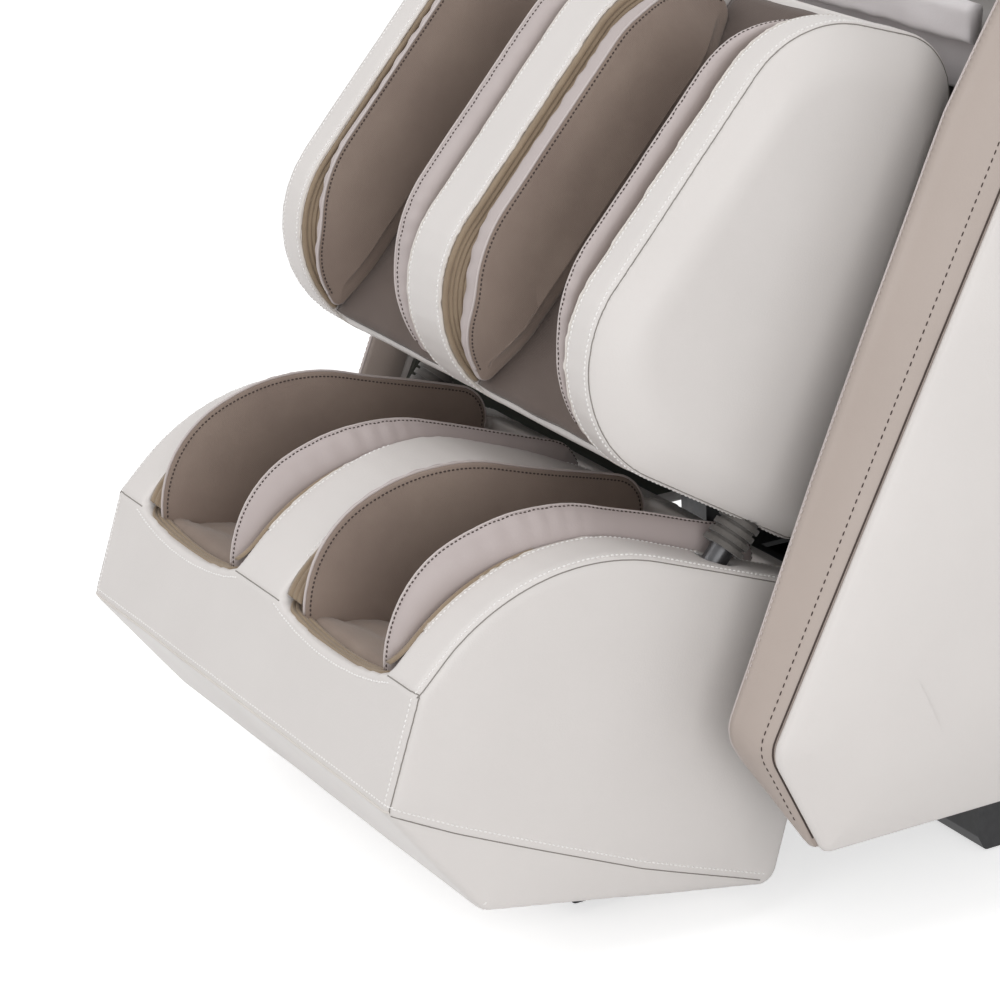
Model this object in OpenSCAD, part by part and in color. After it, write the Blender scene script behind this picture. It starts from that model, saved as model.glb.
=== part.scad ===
// Massage chair with a lifting leg rest: calf channels, foot wells, reclining back and roller carriage.
// Millimetres. +Z is up, the sitter faces -Y, X = 0 is the middle. The origin is the middle of the floor
// area under the chair. The leg rest is drawn at its lowest and the back at its most upright.

/* [Leg rest] */
// Width over the leg rest
leg_w = 500; // [480:1:510]
// Height of the foot unit's front top crease above the floor
crease_z = 235; // [230:1:245]
// Distance of that crease in front of the chair's middle
crease_y = 662; // [655:1:670]
// Rounding along the edges of the leather-covered sides
leather_edge = 7; // [4:1:10]
// Thickness of a padded side leaf at its rim
leaf_t = 21; // [16:1:23]
// Height of the crown on a leaf's inner face
leaf_crown = 6; // [2:0.5:8]
// Height by which the foot leaves stand above the rim
foot_leaf_proud = 14; // [8:1:18]
// Height by which the calf leaves stand in front of the rim
calf_leaf_proud = 9; // [5:1:11]

/* [Foot unit] */
// Width of the bridge between the two foot wells
foot_bridge = 73; // [68:1:80]
// Thickness of each padded outer wall of the foot unit
foot_wall = 46; // [45:1:52]
// Width of the pleated gusset beside a foot unit's inner leaf
foot_gusset = 5; // [3:0.5:8]
// Depth of the bow in a foot well's front rim
rim_bow = 11; // [4:1:14]
// Overhang of the front seam in front of the crease
foot_nose = 28; // [22:1:34]
// Height of the front face from seam to crease
foot_front_h = 80; // [70:1:90]
// Height of the crown of the side walls above the crease
foot_crown_h = 91; // [85:1:95]
// Distance of that crown behind the crease
foot_crown_y = 96; // [90:1:104]
// Radius of the crown
foot_crown_r = 160; // [120:5:170]
// Length from the crease to the rear top corner
foot_l = 345; // [338:1:350]
// Depth of the keel's rear edge below the crease
keel_h = 216; // [208:1:220]
// Thickness of the sole pad
sole_t = 18; // [12:1:20]
// Slope of the sole, falling towards the heel
sole_lean = 26.5; // [24:0.5:28]
// Radius of a sole roller
sole_roller_r = 22; // [16:1:23]

/* [Calf unit] */
// Width of the bridge between the two calf channels
calf_bridge = 53; // [48:1:60]
// Thickness of each padded outer wall of the calf unit
calf_wall = 49; // [46:1:54]
// Width of the pleated gusset beside a calf unit's inner leaf
calf_gusset_in = 15; // [10:0.5:18]
// Width of the pleated gusset beside a calf unit's outer leaf
calf_gusset_out = 8; // [4:0.5:12]
// Lean of the calf unit from the vertical
calf_lean = 42; // [40:0.5:43]
// Length of the front edge of a calf wall, before rounding
calf_l = 326; // [318:1:330]
// Depth of a calf channel
channel_d = 100; // [90:1:104]
// Thickness of the channel lining
lining_t = 14; // [8:1:16]
// Wall of the leg rest's moulded shells
shell_t = 8; // [5:1:9]

/* [Slide and hinges] */
// Radius of a slide rod
rod_r = 9; // [7:0.5:10]
// Distance of each slide rod from the middle
rod_x = 220; // [216:1:224]
// Radius of a hinge pin
pin_r = 10; // [8:0.5:11]
// Radial clearance of a pin or rod in its bore
fit = 0.08; // [0.05:0.01:0.1]
// Radius of a hinge tube
hinge_r = 16; // [15:0.5:18]
// Swing of the leg rest and of the back, in degrees
swing = 50; // [40:1:52]

/* [Side panels] */
// Distance between the inner faces of the side panels
panel_gap = 608; // [604:1:616]
// Width over the side panels at their front edge
panel_front_w = 680; // [672:1:690]
// Width over the side panels at their fullest
overall_w = 744; // [736:1:760]
// Height of the side panels' lower edge above the floor
panel_low = 88; // [84:1:96]
// Height of the armrest's front corner
arm_front_z = 705; // [695:1:715]
// Height of the armrest's rear corner
arm_rear_z = 655; // [650:1:665]
// Thickness of the side panel's skin
skin_t = 6; // [4:1:8]

/* [Base] */
// Width of the black base skirt beyond the leg rest, on each side
skirt_side = 7; // [5:0.5:12]
// Height of the skirt's top
skirt_h = 84; // [76:1:86]
// Thickness of the skirt's moulded wall
skirt_t = 4; // [3:0.5:6]
// Height of the floor pads
foot_h = 8; // [5:1:10]
// Radius of a transport wheel
wheel_r = 31; // [26:1:32]
// Size of the square posts that carry the seat
post = 40; // [30:1:44]

/* [Seat] */
// Distance of each end of the seat cushion inside the leg rest's side
seat_side = 7; // [4:0.5:16]
// Thickness of the seat cushion
seat_t = 84; // [70:1:90]
// Slope of the seat, falling towards the back
seat_lean = 15.7; // [14:0.1:17]

/* [Back] */
// Distance of the recline hinge behind the middle
back_y = 300; // [295:1:305]
// Height of the recline hinge
back_z = 430; // [426:1:434]
// Lean of the upright back from the vertical
back_lean = 20; // [18:0.5:22]
// Length of the back above its hinge
back_l = 780; // [760:5:790]
// Half width of the back
back_half = 240; // [228:1:244]
// Radius of a massage roller
roller_r = 26; // [22:1:27]
// Distance of the rollers above and below their pivot
roller_arm = 62; // [56:1:66]

/* [Controls] */
// Radius of a push button
button_r = 8; // [6:0.5:9]
// Travel of a push button
button_travel = 1.5; // [1:0.1:2.5]

/* [Hidden] */
$fn = 48;

white = "gainsboro";
taupe = "rosybrown";
brown = [0.42, 0.36, 0.34];
mauve = [0.72, 0.67, 0.66];
gold = [0.52, 0.46, 0.38];
steel = "dimgray";
black = [0.08, 0.08, 0.08];
liner_green = [0.25, 0.26, 0.23];

seat_gap = 0.3;      // gap left between neighbouring pieces
arc_steps = 6;       // straight steps in each rounded corner of an outline

// ---- Plane geometry: outlines are corners [y, z, radius], counter-clockwise seen from +X ----
function flat(p) = [p[0], p[1]];
function unit(v) = v / norm(v);
function left_of(v) = [-v[1], v[0]];
function cross2(a, b) = a[0] * b[1] - a[1] * b[0];
function meet(p, u, q, v) = p + u * cross2(q - p, v) / cross2(u, v);
function before(c, i) = flat(c[(i + len(c) - 1) % len(c)]);
function after(c, i) = flat(c[(i + 1) % len(c)]);
// One corner of an outline, as an arc that meets both of its edges
function corner(a, b, c, r) =
    r <= 0 ? [b] :
    let (u = unit(a - b), v = unit(c - b), half = acos(u * v) / 2, m = b + unit(u + v) * r / sin(half),
         s = b + u * r / tan(half) - m, e = b + v * r / tan(half) - m,
         from = atan2(s[1], s[0]), to = atan2(e[1], e[0]), d = to - from,
         turn = d > 180 ? d - 360 : d < -180 ? d + 360 : d)
    [for (i = [0:arc_steps]) m + r * [cos(from + turn * i / arc_steps), sin(from + turn * i / arc_steps)]];
function rounded(c) = [for (i = [0:len(c) - 1]) each corner(before(c, i), flat(c[i]), after(c, i), c[i][2])];
// The same outline with every edge moved inward by d
function inset(c, d) = [for (i = [0:len(c) - 1])
    let (b = flat(c[i]), u = unit(b - before(c, i)), v = unit(after(c, i) - b),
         m = meet(b + d * left_of(u), u, b + d * left_of(v), v))
    [m[0], m[1], c[i][2] <= 0 ? 0 : max(c[i][2] - d, 1)]];

// A slab with the given outline between two x positions
module slab(outline, x0, x1) {
    translate([x0, 0, 0]) rotate([90, 0, 90]) linear_extrude(x1 - x0) polygon(rounded(outline));
}
// A slab whose two rims are chamfered over the depth e
module soft_slab(outline, x0, x1, e) {
    hull() {
        slab(outline, x0 + e, x1 - e);
        slab(inset(outline, e), x0, x1);
    }
}
// A slab with rounded rims whose face at x0 is crowned by the height c over the distance reach
module padded_slab(outline, x0, x1, e, c, reach) {
    hull() {
        slab(outline, x0 + e, x1 - e);
        slab(inset(outline, e), x0, x1);
        slab(inset(outline, (e + reach) / 2), x0 - 0.7 * c, x1);
        slab(inset(outline, reach), x0 - c, x1);
    }
}
// A round bar along X through the point [y, z]
module x_bar(p, r, x0, x1) translate([x0, p[0], p[1]]) rotate([0, 90, 0]) cylinder(r = r, h = x1 - x0);
module both() {
    children();
    mirror([1, 0, 0]) children();
}
module on_side(s) mirror([s < 0 ? 1 : 0, 0, 0]) children();
module box(low, high) translate(low) cube(high - low);

// ---- Frames of reference ----
module at_crease() translate([0, -crease_y, crease_z]) children();
module at_back() translate([0, back_y, back_z]) rotate([-back_lean, 0, 0]) children();
calf_toe = [95, 171];    // lowest front corner of the calf unit, from the crease
// A point of the calf unit from its height along the leg and its depth behind the front edge
function calf(a, d) = calf_toe + a * [sin(calf_lean), cos(calf_lean)] + d * [cos(calf_lean), -sin(calf_lean)];
function calf_corner(a, d, r) = [calf(a, d)[0], calf(a, d)[1], r];
module along_leg(a, d, x) translate([x, calf(a, d)[0], calf(a, d)[1]]) rotate([-calf_lean, 0, 0]) children();

// ---- Foot unit ----
leg_half = leg_w / 2;
well_in = foot_bridge / 2;
well_out = leg_half - foot_wall;
rod_cut = rod_r + 2;     // radius of the shells' bores round the slide rods
slide_d = 210;           // depth of the slide rods behind the calf unit's front edge
foot_outline = [[-foot_nose, -foot_front_h, 5], [41, -172, 12], [foot_l - 69, -keel_h, 14], [foot_l, -5, 20],
    [foot_crown_y, foot_crown_h, foot_crown_r], [0, 0, 3]];
sole_dir = [cos(sole_lean), -sin(sole_lean)];
toe = [4, -44];          // lower front corner of a foot well
sole_l = 275;            // length of a foot well's floor
heel = toe + sole_dir * sole_l;
well_back = [foot_l - 33, 20];
well_outline = [[toe[0], toe[1], 10], [heel[0], heel[1], 6], [well_back[0], well_back[1], 0],
    [foot_l - 15, foot_crown_h + 80, 0], [toe[0], foot_crown_h + 80, 0]];
well_fit = inset(well_outline, seat_gap);
sole_rise = sole_t / cos(sole_lean);
sole_outline = [well_fit[0], [well_fit[1][0], well_fit[1][1], 7],
    [each flat(well_fit[1]) + unit(well_back - heel) * sole_t, 7],
    [well_fit[0][0], well_fit[0][1] + sole_rise, 6]];
toe_strip = [[toe[0] + 0.5, toe[1] + sole_rise + 2, 0], [toe[0] + 5, toe[1] + sole_rise + 2, 0],
    [toe[0] + 5, 1, 2], [toe[0] + 0.5, 1, 0]];
cavity_low = [62, -162];
cavity_rear_z = -194;
cavity_rear = [heel[0] - 14, cavity_rear_z];
foot_cavity = [[50, -84, 6], [cavity_low[0], cavity_low[1], 8], [cavity_rear[0], cavity_rear[1], 8],
    [cavity_rear[0], heel[1] + 2, 0], [50, -60, 0]];
function along(p, q, y) = p[1] + (y - p[0]) * (q[1] - p[1]) / (q[0] - p[0]);
function cavity_floor(y) = along(cavity_low, cavity_rear, y);
function keel_z(y) = along(foot_outline[1], foot_outline[2], y);
rod_low = -215;          // lower end of the slide rods, along the leg
rod_l = 462;
foot_bar = calf(rod_low, slide_d);     // cross tube that carries the slide rods
sole_roller = [150, -119 - sole_roller_r - 1];
leaf_toe = toe + [5, sole_t + 6];
foot_leaf_outline = [[leaf_toe[0], leaf_toe[1], 5], [heel[0] - 8, heel[1] + sole_t + 6, 14],
    [foot_l - 46, foot_leaf_proud + 12, 24],
    [foot_crown_y, foot_crown_h + foot_leaf_proud, foot_crown_r - 10],
    [leaf_toe[0], 12, 8]];

// The bow that dips a well's front rim below the crease
module rim_scoop() {
    half = (well_out - well_in) / 2;
    bow_r = (half * half + rim_bow * rim_bow) / (2 * rim_bow);
    intersection() {
        translate([well_in + half, 2 * toe[0] + 12, bow_r - rim_bow]) rotate([90, 0, 0])
            cylinder(r = bow_r, h = 60, $fn = 192);
        box([well_in, -60, -2 * rim_bow], [well_out, 2 * toe[0] + 13, foot_crown_h]);
    }
}
module foot_shell() color(white) at_crease() difference() {
    soft_slab(foot_outline, -leg_half, leg_half, leather_edge);
    both() {
        slab(well_outline, well_in, well_out);
        rim_scoop();
        along_leg(rod_low - 11, slide_d, rod_x) cylinder(r = rod_cut, h = 500);
    }
    slab(foot_cavity, -(well_out - 7), well_out - 7);
    x_bar(foot_bar, 12, -(leg_half - 12), leg_half - 12);
}
module foot_soles() color(brown) at_crease() both() {
    slab(sole_outline, well_in + seat_gap, well_out - seat_gap);
    difference() {
        slab(toe_strip, well_in + 6, well_out - 6);
        rim_scoop();
    }
    slab(inset(foot_leaf_outline, 9), well_in + seat_gap, well_in + foot_gusset);
}
module foot_inner_leaf() at_crease() mirror([1, 0, 0]) translate([-(well_in + foot_gusset + seat_gap), 0, 0])
    leaf(foot_leaf_outline);
module foot_outer_leaf() at_crease() translate([well_out - seat_gap, 0, 0]) leaf(foot_leaf_outline);
// A leaf with its back on X = 0 and its crowned face towards -X
module leaf(outline) padded_slab(outline, -leaf_t, 0, 5, leaf_crown, 34);
module left_foot_outer_leaf() color(mauve) on_side(-1) foot_outer_leaf();
module left_foot_inner_leaf() color(brown) on_side(-1) foot_inner_leaf();
module right_foot_inner_leaf() color(brown) foot_inner_leaf();
module right_foot_outer_leaf() color(mauve) foot_outer_leaf();

ear_t = 5;
ear_in = well_in + 9;
ear_out = well_out - 9 - ear_t;
plate_ends = [74, heel[0] - 26];
function above_floor(y, h) = [y, cavity_floor(y) + h, 0];
sole_plate = [above_floor(plate_ends[0], seat_gap), above_floor(plate_ends[1], seat_gap),
    above_floor(plate_ends[1], 4), above_floor(plate_ends[0], 4)];
roller_ear = [above_floor(foot_bar[0] - 2, 1), above_floor(190, 1),
    [sole_roller[0] + 14, sole_roller[1] + 10, 6], [sole_roller[0] - 12, sole_roller[1] + 10, 6],
    [foot_bar[0] + 6, foot_bar[1], 0], [foot_bar[0] - 6, foot_bar[1], 0]];
module foot_frame() color(steel) at_crease() difference() {
    union() {
        both() along_leg(rod_low, slide_d, rod_x) cylinder(r = rod_r, h = rod_l);
        x_bar(foot_bar, 10, -(leg_half - 15), leg_half - 15);
        slab(sole_plate, -(well_out - 9), well_out - 9);
        both() for (x = [ear_in, ear_out]) slab(roller_ear, x, x + ear_t);
    }
    both() x_bar(sole_roller, 5 + fit, ear_in - 1, ear_out + ear_t + 1);
}
module sole_rollers() at_crease() {
    x_bar(sole_roller, 5, ear_in + 0.5, ear_out + ear_t - 0.5);
    low = ear_in + ear_t;
    pitch = (ear_out - low) / 3;
    for (i = [0:2]) x_bar(sole_roller, sole_roller_r, low + i * pitch + 2, low + (i + 1) * pitch - 4);
}
module left_sole_rollers() color("tan") on_side(-1) sole_rollers();
module right_sole_rollers() color("tan") sole_rollers();
glide = [150, 205];      // front and rear end of a glide under the keel
glide_low = -226;
module foot_glides() color(black) at_crease() both()
    slab([[glide[0], glide_low, 5], [glide[1], glide_low, 5], [glide[1], keel_z(glide[1]) - seat_gap, 0],
        [glide[0], keel_z(glide[0]) - seat_gap, 0]], 130, 175);

// ---- Calf unit ----
knee = [386, 137];       // rear top corner: height along the leg, depth
ankle = [49, 262];       // rear bottom corner
calf_outline = [calf_corner(0, 0, 93), calf_corner(ankle[0], ankle[1], 25), calf_corner(knee[0], knee[1], 50),
    calf_corner(calf_l, 0, 85)];
channel_in = calf_bridge / 2;
channel_out = leg_half - calf_wall;
channel = [calf_corner(-200, -60, 0), calf_corner(-200, channel_d, 0), calf_corner(520, channel_d, 0),
    calf_corner(520, -60, 0)];
floor_d = channel_d + shell_t;
calf_cavity = [calf_corner(14 + floor_d * ankle[0] / ankle[1], floor_d, 6), calf_corner(90, 400, 0),
    calf_corner(352, 400, 0), calf_corner(352, floor_d, 6)];
lining = [calf_corner(24, channel_d - lining_t, 8), calf_corner(24, channel_d - seat_gap, 0),
    calf_corner(362, channel_d - seat_gap, 0), calf_corner(356, channel_d - lining_t, 8)];
calf_leaf_outline = [calf_corner(4, -calf_leaf_proud, 70), calf_corner(24, channel_d - lining_t - 1, 8),
    calf_corner(354, channel_d - lining_t - 1, 10), calf_corner(calf_l - 5, -calf_leaf_proud, 78)];
knee_hinge = calf(300, 133);
cheek_t = 3.2;           // covered cheek of the calf unit outside each hinge arm
hinge_arm_t = 6;
arm_slot = [leg_half - cheek_t - hinge_arm_t - 2 * seat_gap, leg_half - cheek_t];
arm_half = 18;
arm_room = arm_half + 1.5;
// Outline of a hinge arm of the seat frame, from the knee hinge's axis
hinge_arm = [[-arm_half, -arm_half, arm_half - 1], [20, -arm_half, 0], [90, -38, 0], [115, -38, 3], [115, -12, 3],
    [90, -10, 0], [20, arm_half, 0], [-arm_half, arm_half, arm_half - 1]];
function turned(p, angle) = [p[0] * cos(angle) - p[1] * sin(angle), p[0] * sin(angle) + p[1] * cos(angle), 0];

module calf_shell() color(white) at_crease() difference() {
    soft_slab(calf_outline, -leg_half, leg_half, leather_edge);
    both() {
        slab(channel, channel_in, channel_out);
        along_leg(-60, slide_d, rod_x) cylinder(r = rod_cut, h = 200);
    }
    slab(calf_cavity, -(leg_half - 14), leg_half - 14);
    x_bar(knee_hinge, hinge_r + 1, -arm_slot[1], arm_slot[1]);
    both() {
        x_bar(knee_hinge, arm_room, arm_slot[0], arm_slot[1]);
        translate([0, knee_hinge[0], knee_hinge[1]]) slab([[0, -arm_room, 0], [20, -arm_room, 0], [140, -56, 0],
            [140, 60, 0], turned([140, arm_room], swing), turned([0, arm_room], swing)], arm_slot[0], arm_slot[1]);
    }
}
module calf_linings() color(brown) at_crease() both() {
    slab(lining, channel_in + seat_gap, channel_out - seat_gap);
    for (x = [[channel_in, channel_in + calf_gusset_in], [channel_out - calf_gusset_out, channel_out]])
        slab(inset(calf_leaf_outline, 9), x[0] + seat_gap, x[1] - seat_gap);
}
module calf_outer_leaf() at_crease() translate([channel_out - calf_gusset_out, 0, 0]) leaf(calf_leaf_outline);
module calf_inner_leaf() at_crease() mirror([1, 0, 0]) translate([-(channel_in + calf_gusset_in), 0, 0])
    leaf(calf_leaf_outline);
module left_calf_outer_leaf() color(mauve) on_side(-1) calf_outer_leaf();
module left_calf_inner_leaf() color(brown) on_side(-1) calf_inner_leaf();
module right_calf_inner_leaf() color(brown) calf_inner_leaf();
module right_calf_outer_leaf() color(mauve) calf_outer_leaf();

leg_arm = 140;           // height of the leg actuator's rod below the knee hinge
half_swing = swing / 2;
slot_r = 8;
rod_pin_r = 6;
rod_shaft_r = 8;
// A lever that points down and back from a hinge, with the slot that its actuator's pin works in
module slotted_lever(hinge, arm, tip) {
    near = arm - slot_r - 4;
    far = arm / cos(half_swing) + 4;
    translate([0, hinge[0], hinge[1]]) rotate([half_swing, 0, 0]) difference() {
        slab([[-15, -far - 20, 12], [15, -far - 20, 12], [20, 0, 8], [-20, 0, 8]], -tip / 2, tip / 2);
        slab([[-slot_r, -far - slot_r + 4, slot_r - 0.5], [slot_r, -far - slot_r + 4, slot_r - 0.5],
            [slot_r, -near, slot_r - 0.5], [-slot_r, -near, slot_r - 0.5]], -tip, tip);
        x_bar([0, 0], hinge_r - 2, -tip, tip);
    }
}
// Rod with a fork and pin at its end; the pin is at the origin and the rod runs along +Y
module fork_rod(length) {
    x_bar([0, 0], rod_pin_r, -14, 14);
    for (x = [-14, 7]) slab([[-11, -11, 8], [34, -11, 0], [34, 11, 0], [-11, 11, 8]], x, x + 7);
    slab([[32, -11, 0], [44, -11, 0], [44, 11, 0], [32, 11, 0]], -14, 14);
    translate([0, 43, 0]) rotate([-90, 0, 0]) cylinder(r = rod_shaft_r, h = length - 43);
}

guide_r = rod_r + 5;
guide_l = 188;
// Heights along the leg of the calf unit's lower face and of the foot unit's top, at the depth d
function calf_low(d) = ankle[0] * d / ankle[1];
function foot_top(d) = let (crown = [foot_crown_y, foot_crown_h], on = meet(crown, unit([foot_l, -5] - crown),
    calf(0, d), calf(1, 0) - calf(0, 0))) (on - calf(0, d)) * (calf(1, 0) - calf(0, 0));
guide_low = calf_low(slide_d + guide_r) + 17;
module calf_frame() color(steel) at_crease() difference() {
    union() {
        x_bar(knee_hinge, hinge_r, -arm_slot[0] + seat_gap, arm_slot[0] - seat_gap);
        both() along_leg(guide_low, slide_d, rod_x) cylinder(r = guide_r, h = guide_l);
        for (a = [80, 215])
            slab([calf_corner(a, floor_d + seat_gap, 0), calf_corner(a, slide_d + 10, 0),
                calf_corner(a + 24, slide_d + 10, 0), calf_corner(a + 24, floor_d + seat_gap, 0)], -rod_x, rod_x);
        both() slab([calf_corner(210, 150, 0), calf_corner(210, 175, 0), calf_corner(300, 148, 0),
            calf_corner(300, 120, 0)], 120, 140);
        slotted_lever(knee_hinge, leg_arm, 10);
    }
    both() along_leg(0, slide_d, rod_x) cylinder(r = rod_r + fit, h = 300);
    x_bar(knee_hinge, pin_r + fit, -leg_half - 1, leg_half + 1);
}
// Ribbed rubber sleeves that wipe the slide rods under the calf unit
boot_r = rod_x - well_out - seat_gap;
boot_ribs = 4;
boot_low = foot_top(slide_d + boot_r) + 3;
boot_l = calf_low(slide_d - boot_r) - seat_gap - boot_low;
module slide_boots() color("dimgray") at_crease() both() difference() {
    union() {
        along_leg(boot_low, slide_d, rod_x) cylinder(r = rod_r + 4, h = boot_l);
        for (i = [0:boot_ribs - 1]) along_leg(boot_low + i * boot_l / boot_ribs, slide_d, rod_x)
            cylinder(r = boot_r, h = 0.6 * boot_l / boot_ribs);
    }
    along_leg(boot_low - 1, slide_d, rod_x) cylinder(r = rod_r + 0.5, h = boot_l + 2);
}

// ---- Side panels ----
seat_half = leg_half - seat_side;
gap_half = panel_gap / 2;
front_half = panel_front_w / 2;
full_half = overall_w / 2;
nose = [-446, 169];      // foremost point of the seam between band and cover
arm_front = [-162, arm_front_z];
panel_outline = [[-407, panel_low, 10], [348, panel_low, 60], [423, 355, 150], [348, arm_rear_z, 105],
    [arm_front[0], arm_front[1], 85], [nose[0], nose[1], 24]];
band_t = 15;             // thickness of the front band at the seam
band_wrap = 40;          // width of the band on the panel's inner face
lead_low = 10;           // lead of the band's inner edge at the nose
lead_high = 38;          // and at the armrest
nose_in = nose + [-lead_low, 9];
arm_in = arm_front - [lead_high, 0];
trough_low = 568;        // underside of the arm trough
trough_front = -145;
trough_rear = 182;
trough_out = front_half + 12;
trough_in = seat_half + 3;
trough_high = 650;
// The part of the cover that lies behind the front band
behind_band = inset([[-407 + band_t, panel_low, 10], [348, panel_low, 60], [423, 355, 150],
    [348, arm_rear_z, 105], [arm_front[0], arm_front[1], 85], [nose[0] + band_t, nose[1], 24]], band_t + 1);
// Depth of the crowned rim at each step out to the fullest width
crown_h = full_half - front_half;
crown = [for (c = [[0.19, 0], [0.38, 12], [0.66, 35], [0.88, 70], [1, 110]]) [c[0] * crown_h, c[1]]];

module side_cover() difference() {
    union() {
        slab(behind_band, gap_half + liner_t + seat_gap, front_half + 1);
        hull() {
            slab(panel_outline, front_half + seat_gap, front_half + crown[0][0]);
            for (c = crown) slab(inset(panel_outline, c[1]), front_half + c[0] - 2, front_half + c[0]);
        }
    }
    slab(inset(behind_band, skin_t), gap_half, front_half - skin_t - 2);
    hull() {
        slab(inset(panel_outline, 26), front_half - 9, front_half - 7);
        slab(inset(panel_outline, 84), full_half - 2 * skin_t, full_half - skin_t);
    }
    trough_bay();
}
// The room that the arm trough takes out of a side panel
module trough_bay() box([gap_half - 10, trough_front - seat_gap, trough_low - seat_gap],
    [trough_out + seat_gap, trough_rear + seat_gap, 800]);
module front_band() {
    hull() {
        slab([[nose_in[0], nose_in[1], 8], [nose_in[0] + band_wrap, nose_in[1], 0],
            [arm_in[0] + band_wrap, arm_in[1], 0], [arm_in[0], arm_in[1], 0]], gap_half, gap_half + 2);
        slab([[nose[0], nose[1], 8], [nose[0] + band_t, nose[1], 0], [arm_front[0] + band_t, arm_front[1], 0],
            [arm_front[0], arm_front[1], 0]], front_half - 2, front_half);
    }
    hull() {
        slab([[nose_in[0], nose_in[1] - 2, 0], [nose_in[0] + band_wrap, nose_in[1] - 2, 0],
            [nose_in[0] + band_wrap, nose_in[1], 0], [nose_in[0], nose_in[1], 0]], gap_half, gap_half + 2);
        slab([[-408, panel_low + 1, 0], [-394, panel_low + 1, 0], [nose[0] + band_t, nose[1], 0],
            [nose[0], nose[1], 0]], front_half - 2, front_half);
        slab([[-408, panel_low + 1, 0], [-396, panel_low + 1, 0], [-400, panel_low + 8, 0]], front_half - 14,
            front_half - 12);
    }
}
liner_t = 4.5;
band_gap = 3;            // open joint between the front band and the liner
// Front edge of the liner, behind the band's wrap
function liner_edge(z) = meet(nose_in + [band_wrap + band_gap, 0], unit(arm_in - nose_in), [0, z], [1, 0]);
liner_outline = [[-376, panel_low + 14, 8], [340, panel_low + 14, 50], [410, 355, 140], [340, arm_rear_z - 16, 95],
    [each liner_edge(arm_in[1] - 15), 20], [each liner_edge(nose_in[1] + 8), 10]];
module inner_liner() difference() {
    slab(liner_outline, gap_half, gap_half + liner_t);
    trough_bay();
}
module left_side_cover() color(white) on_side(-1) side_cover();
module right_side_cover() color(white) side_cover();
module left_front_band() color(taupe) on_side(-1) front_band();
module right_front_band() color(taupe) front_band();
module left_inner_liner() color(liner_green) on_side(-1) inner_liner();
module right_inner_liner() color(liner_green) inner_liner();

trough_t = 6;
arm_slope = (arm_front_z - arm_rear_z) / (348 - arm_front[0]);   // fall of the armrest towards the back
function arm_top(y) = arm_front_z - 11 - (y - arm_front[0]) * arm_slope;
pod_l = 62;
pod_rear = trough_front + trough_t + pod_l;
module arm_trough() difference() {
    slab([[trough_front, trough_low, 3], [trough_rear, trough_low, 3], [trough_rear, arm_top(trough_rear), 6],
        [trough_front, arm_top(trough_front), 6]], trough_in, trough_out);
    box([trough_in + trough_t, trough_front + trough_t, trough_low + trough_t],
        [trough_out - trough_t, trough_rear - trough_t, 800]);
    box([trough_in - 1, pod_rear, trough_high], [gap_half, trough_rear + 1, 800]);
}
arm_pad_t = 8;
lining_gap = trough_t + seat_gap;
pad_low = [trough_in + lining_gap, trough_front + lining_gap, trough_low + lining_gap];
pad_high = [trough_out - lining_gap, trough_rear - lining_gap, trough_high - 6];
hand_w = pad_high[0] - pad_low[0] - 2 * arm_pad_t;
module arm_pad() difference() {
    box(pad_low, pad_high);
    translate([pad_low[0] + arm_pad_t, trough_rear, pad_low[2] + arm_pad_t]) rotate([90, 0, 0])
        linear_extrude(trough_rear - trough_front)
            polygon([[8, 0], [hand_w - 8, 0], [hand_w, 8], [hand_w, 90], [0, 90], [0, 8]]);
}
module left_arm_trough() color(taupe) on_side(-1) arm_trough();
module right_arm_trough() color(taupe) arm_trough();
module left_arm_pad() color(brown) on_side(-1) arm_pad();
module right_arm_pad() color(brown) arm_pad();

// ---- Keypad on the right armrest ----
pod_front = trough_front + trough_t + seat_gap;
pod_low = trough_high - 4;
pod_high = arm_top(pod_front + pod_l) - 1;
button_x = trough_in + trough_t + 34;
button_step = 26;
button_hole = button_r + 0.25;
function button_y(i) = pod_front + 18 + i * button_step;
// The pod bridges the front end of the arm trough
module keypad() color(black) difference() {
    box([trough_in + trough_t + seat_gap, pod_front, pod_low],
        [trough_out - trough_t - seat_gap, pod_front + pod_l, pod_high]);
    box([button_x + 14, pod_front + 12, pod_high - 1.5], [trough_out - 16, pod_front + pod_l - 12, 800]);
    for (i = [0, 1]) translate([button_x, button_y(i), pod_high - 9]) cylinder(r = button_hole, h = 20);
}
module button(i) translate([button_x, button_y(i), pod_high - 9 + button_travel + 0.5]) {
    cylinder(r = button_r, h = 9);
    translate([0, 0, 9]) cylinder(r1 = button_r, r2 = button_r - 1.5, h = 1.5);
}
module keypad_button_up() color(white) button(0);
module keypad_button_down() color(white) button(1);

// ---- Base ----
skirt_half = leg_half + skirt_side;
rail_out = skirt_half - 7;
rail_w = 50;
rail_front = -195;
rail_rear = 325;
rail_high = 58;
skirt_front = -213;
skirt_rear = 332;
post_out = skirt_half - skirt_t - 0.4;   // outer face of the posts and inner face of the seat's side plates
front_post = -150;
rear_post = 150;
post_front_high = 500;
post_rear_high = 408;
outrigger_z = 128;
wheel = [368, wheel_r + 5];
axle_r = 6;
wheel_w = 22;
wheel_x = rail_out - 21 - wheel_w / 2;
leg_rod = [knee_hinge[0] - crease_y, knee_hinge[1] + crease_z - leg_arm];
back_arm = 95;           // height of the back actuator's rod below the recline hinge
back_rod_z = back_z - back_arm;
motor_r = 24;

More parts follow.
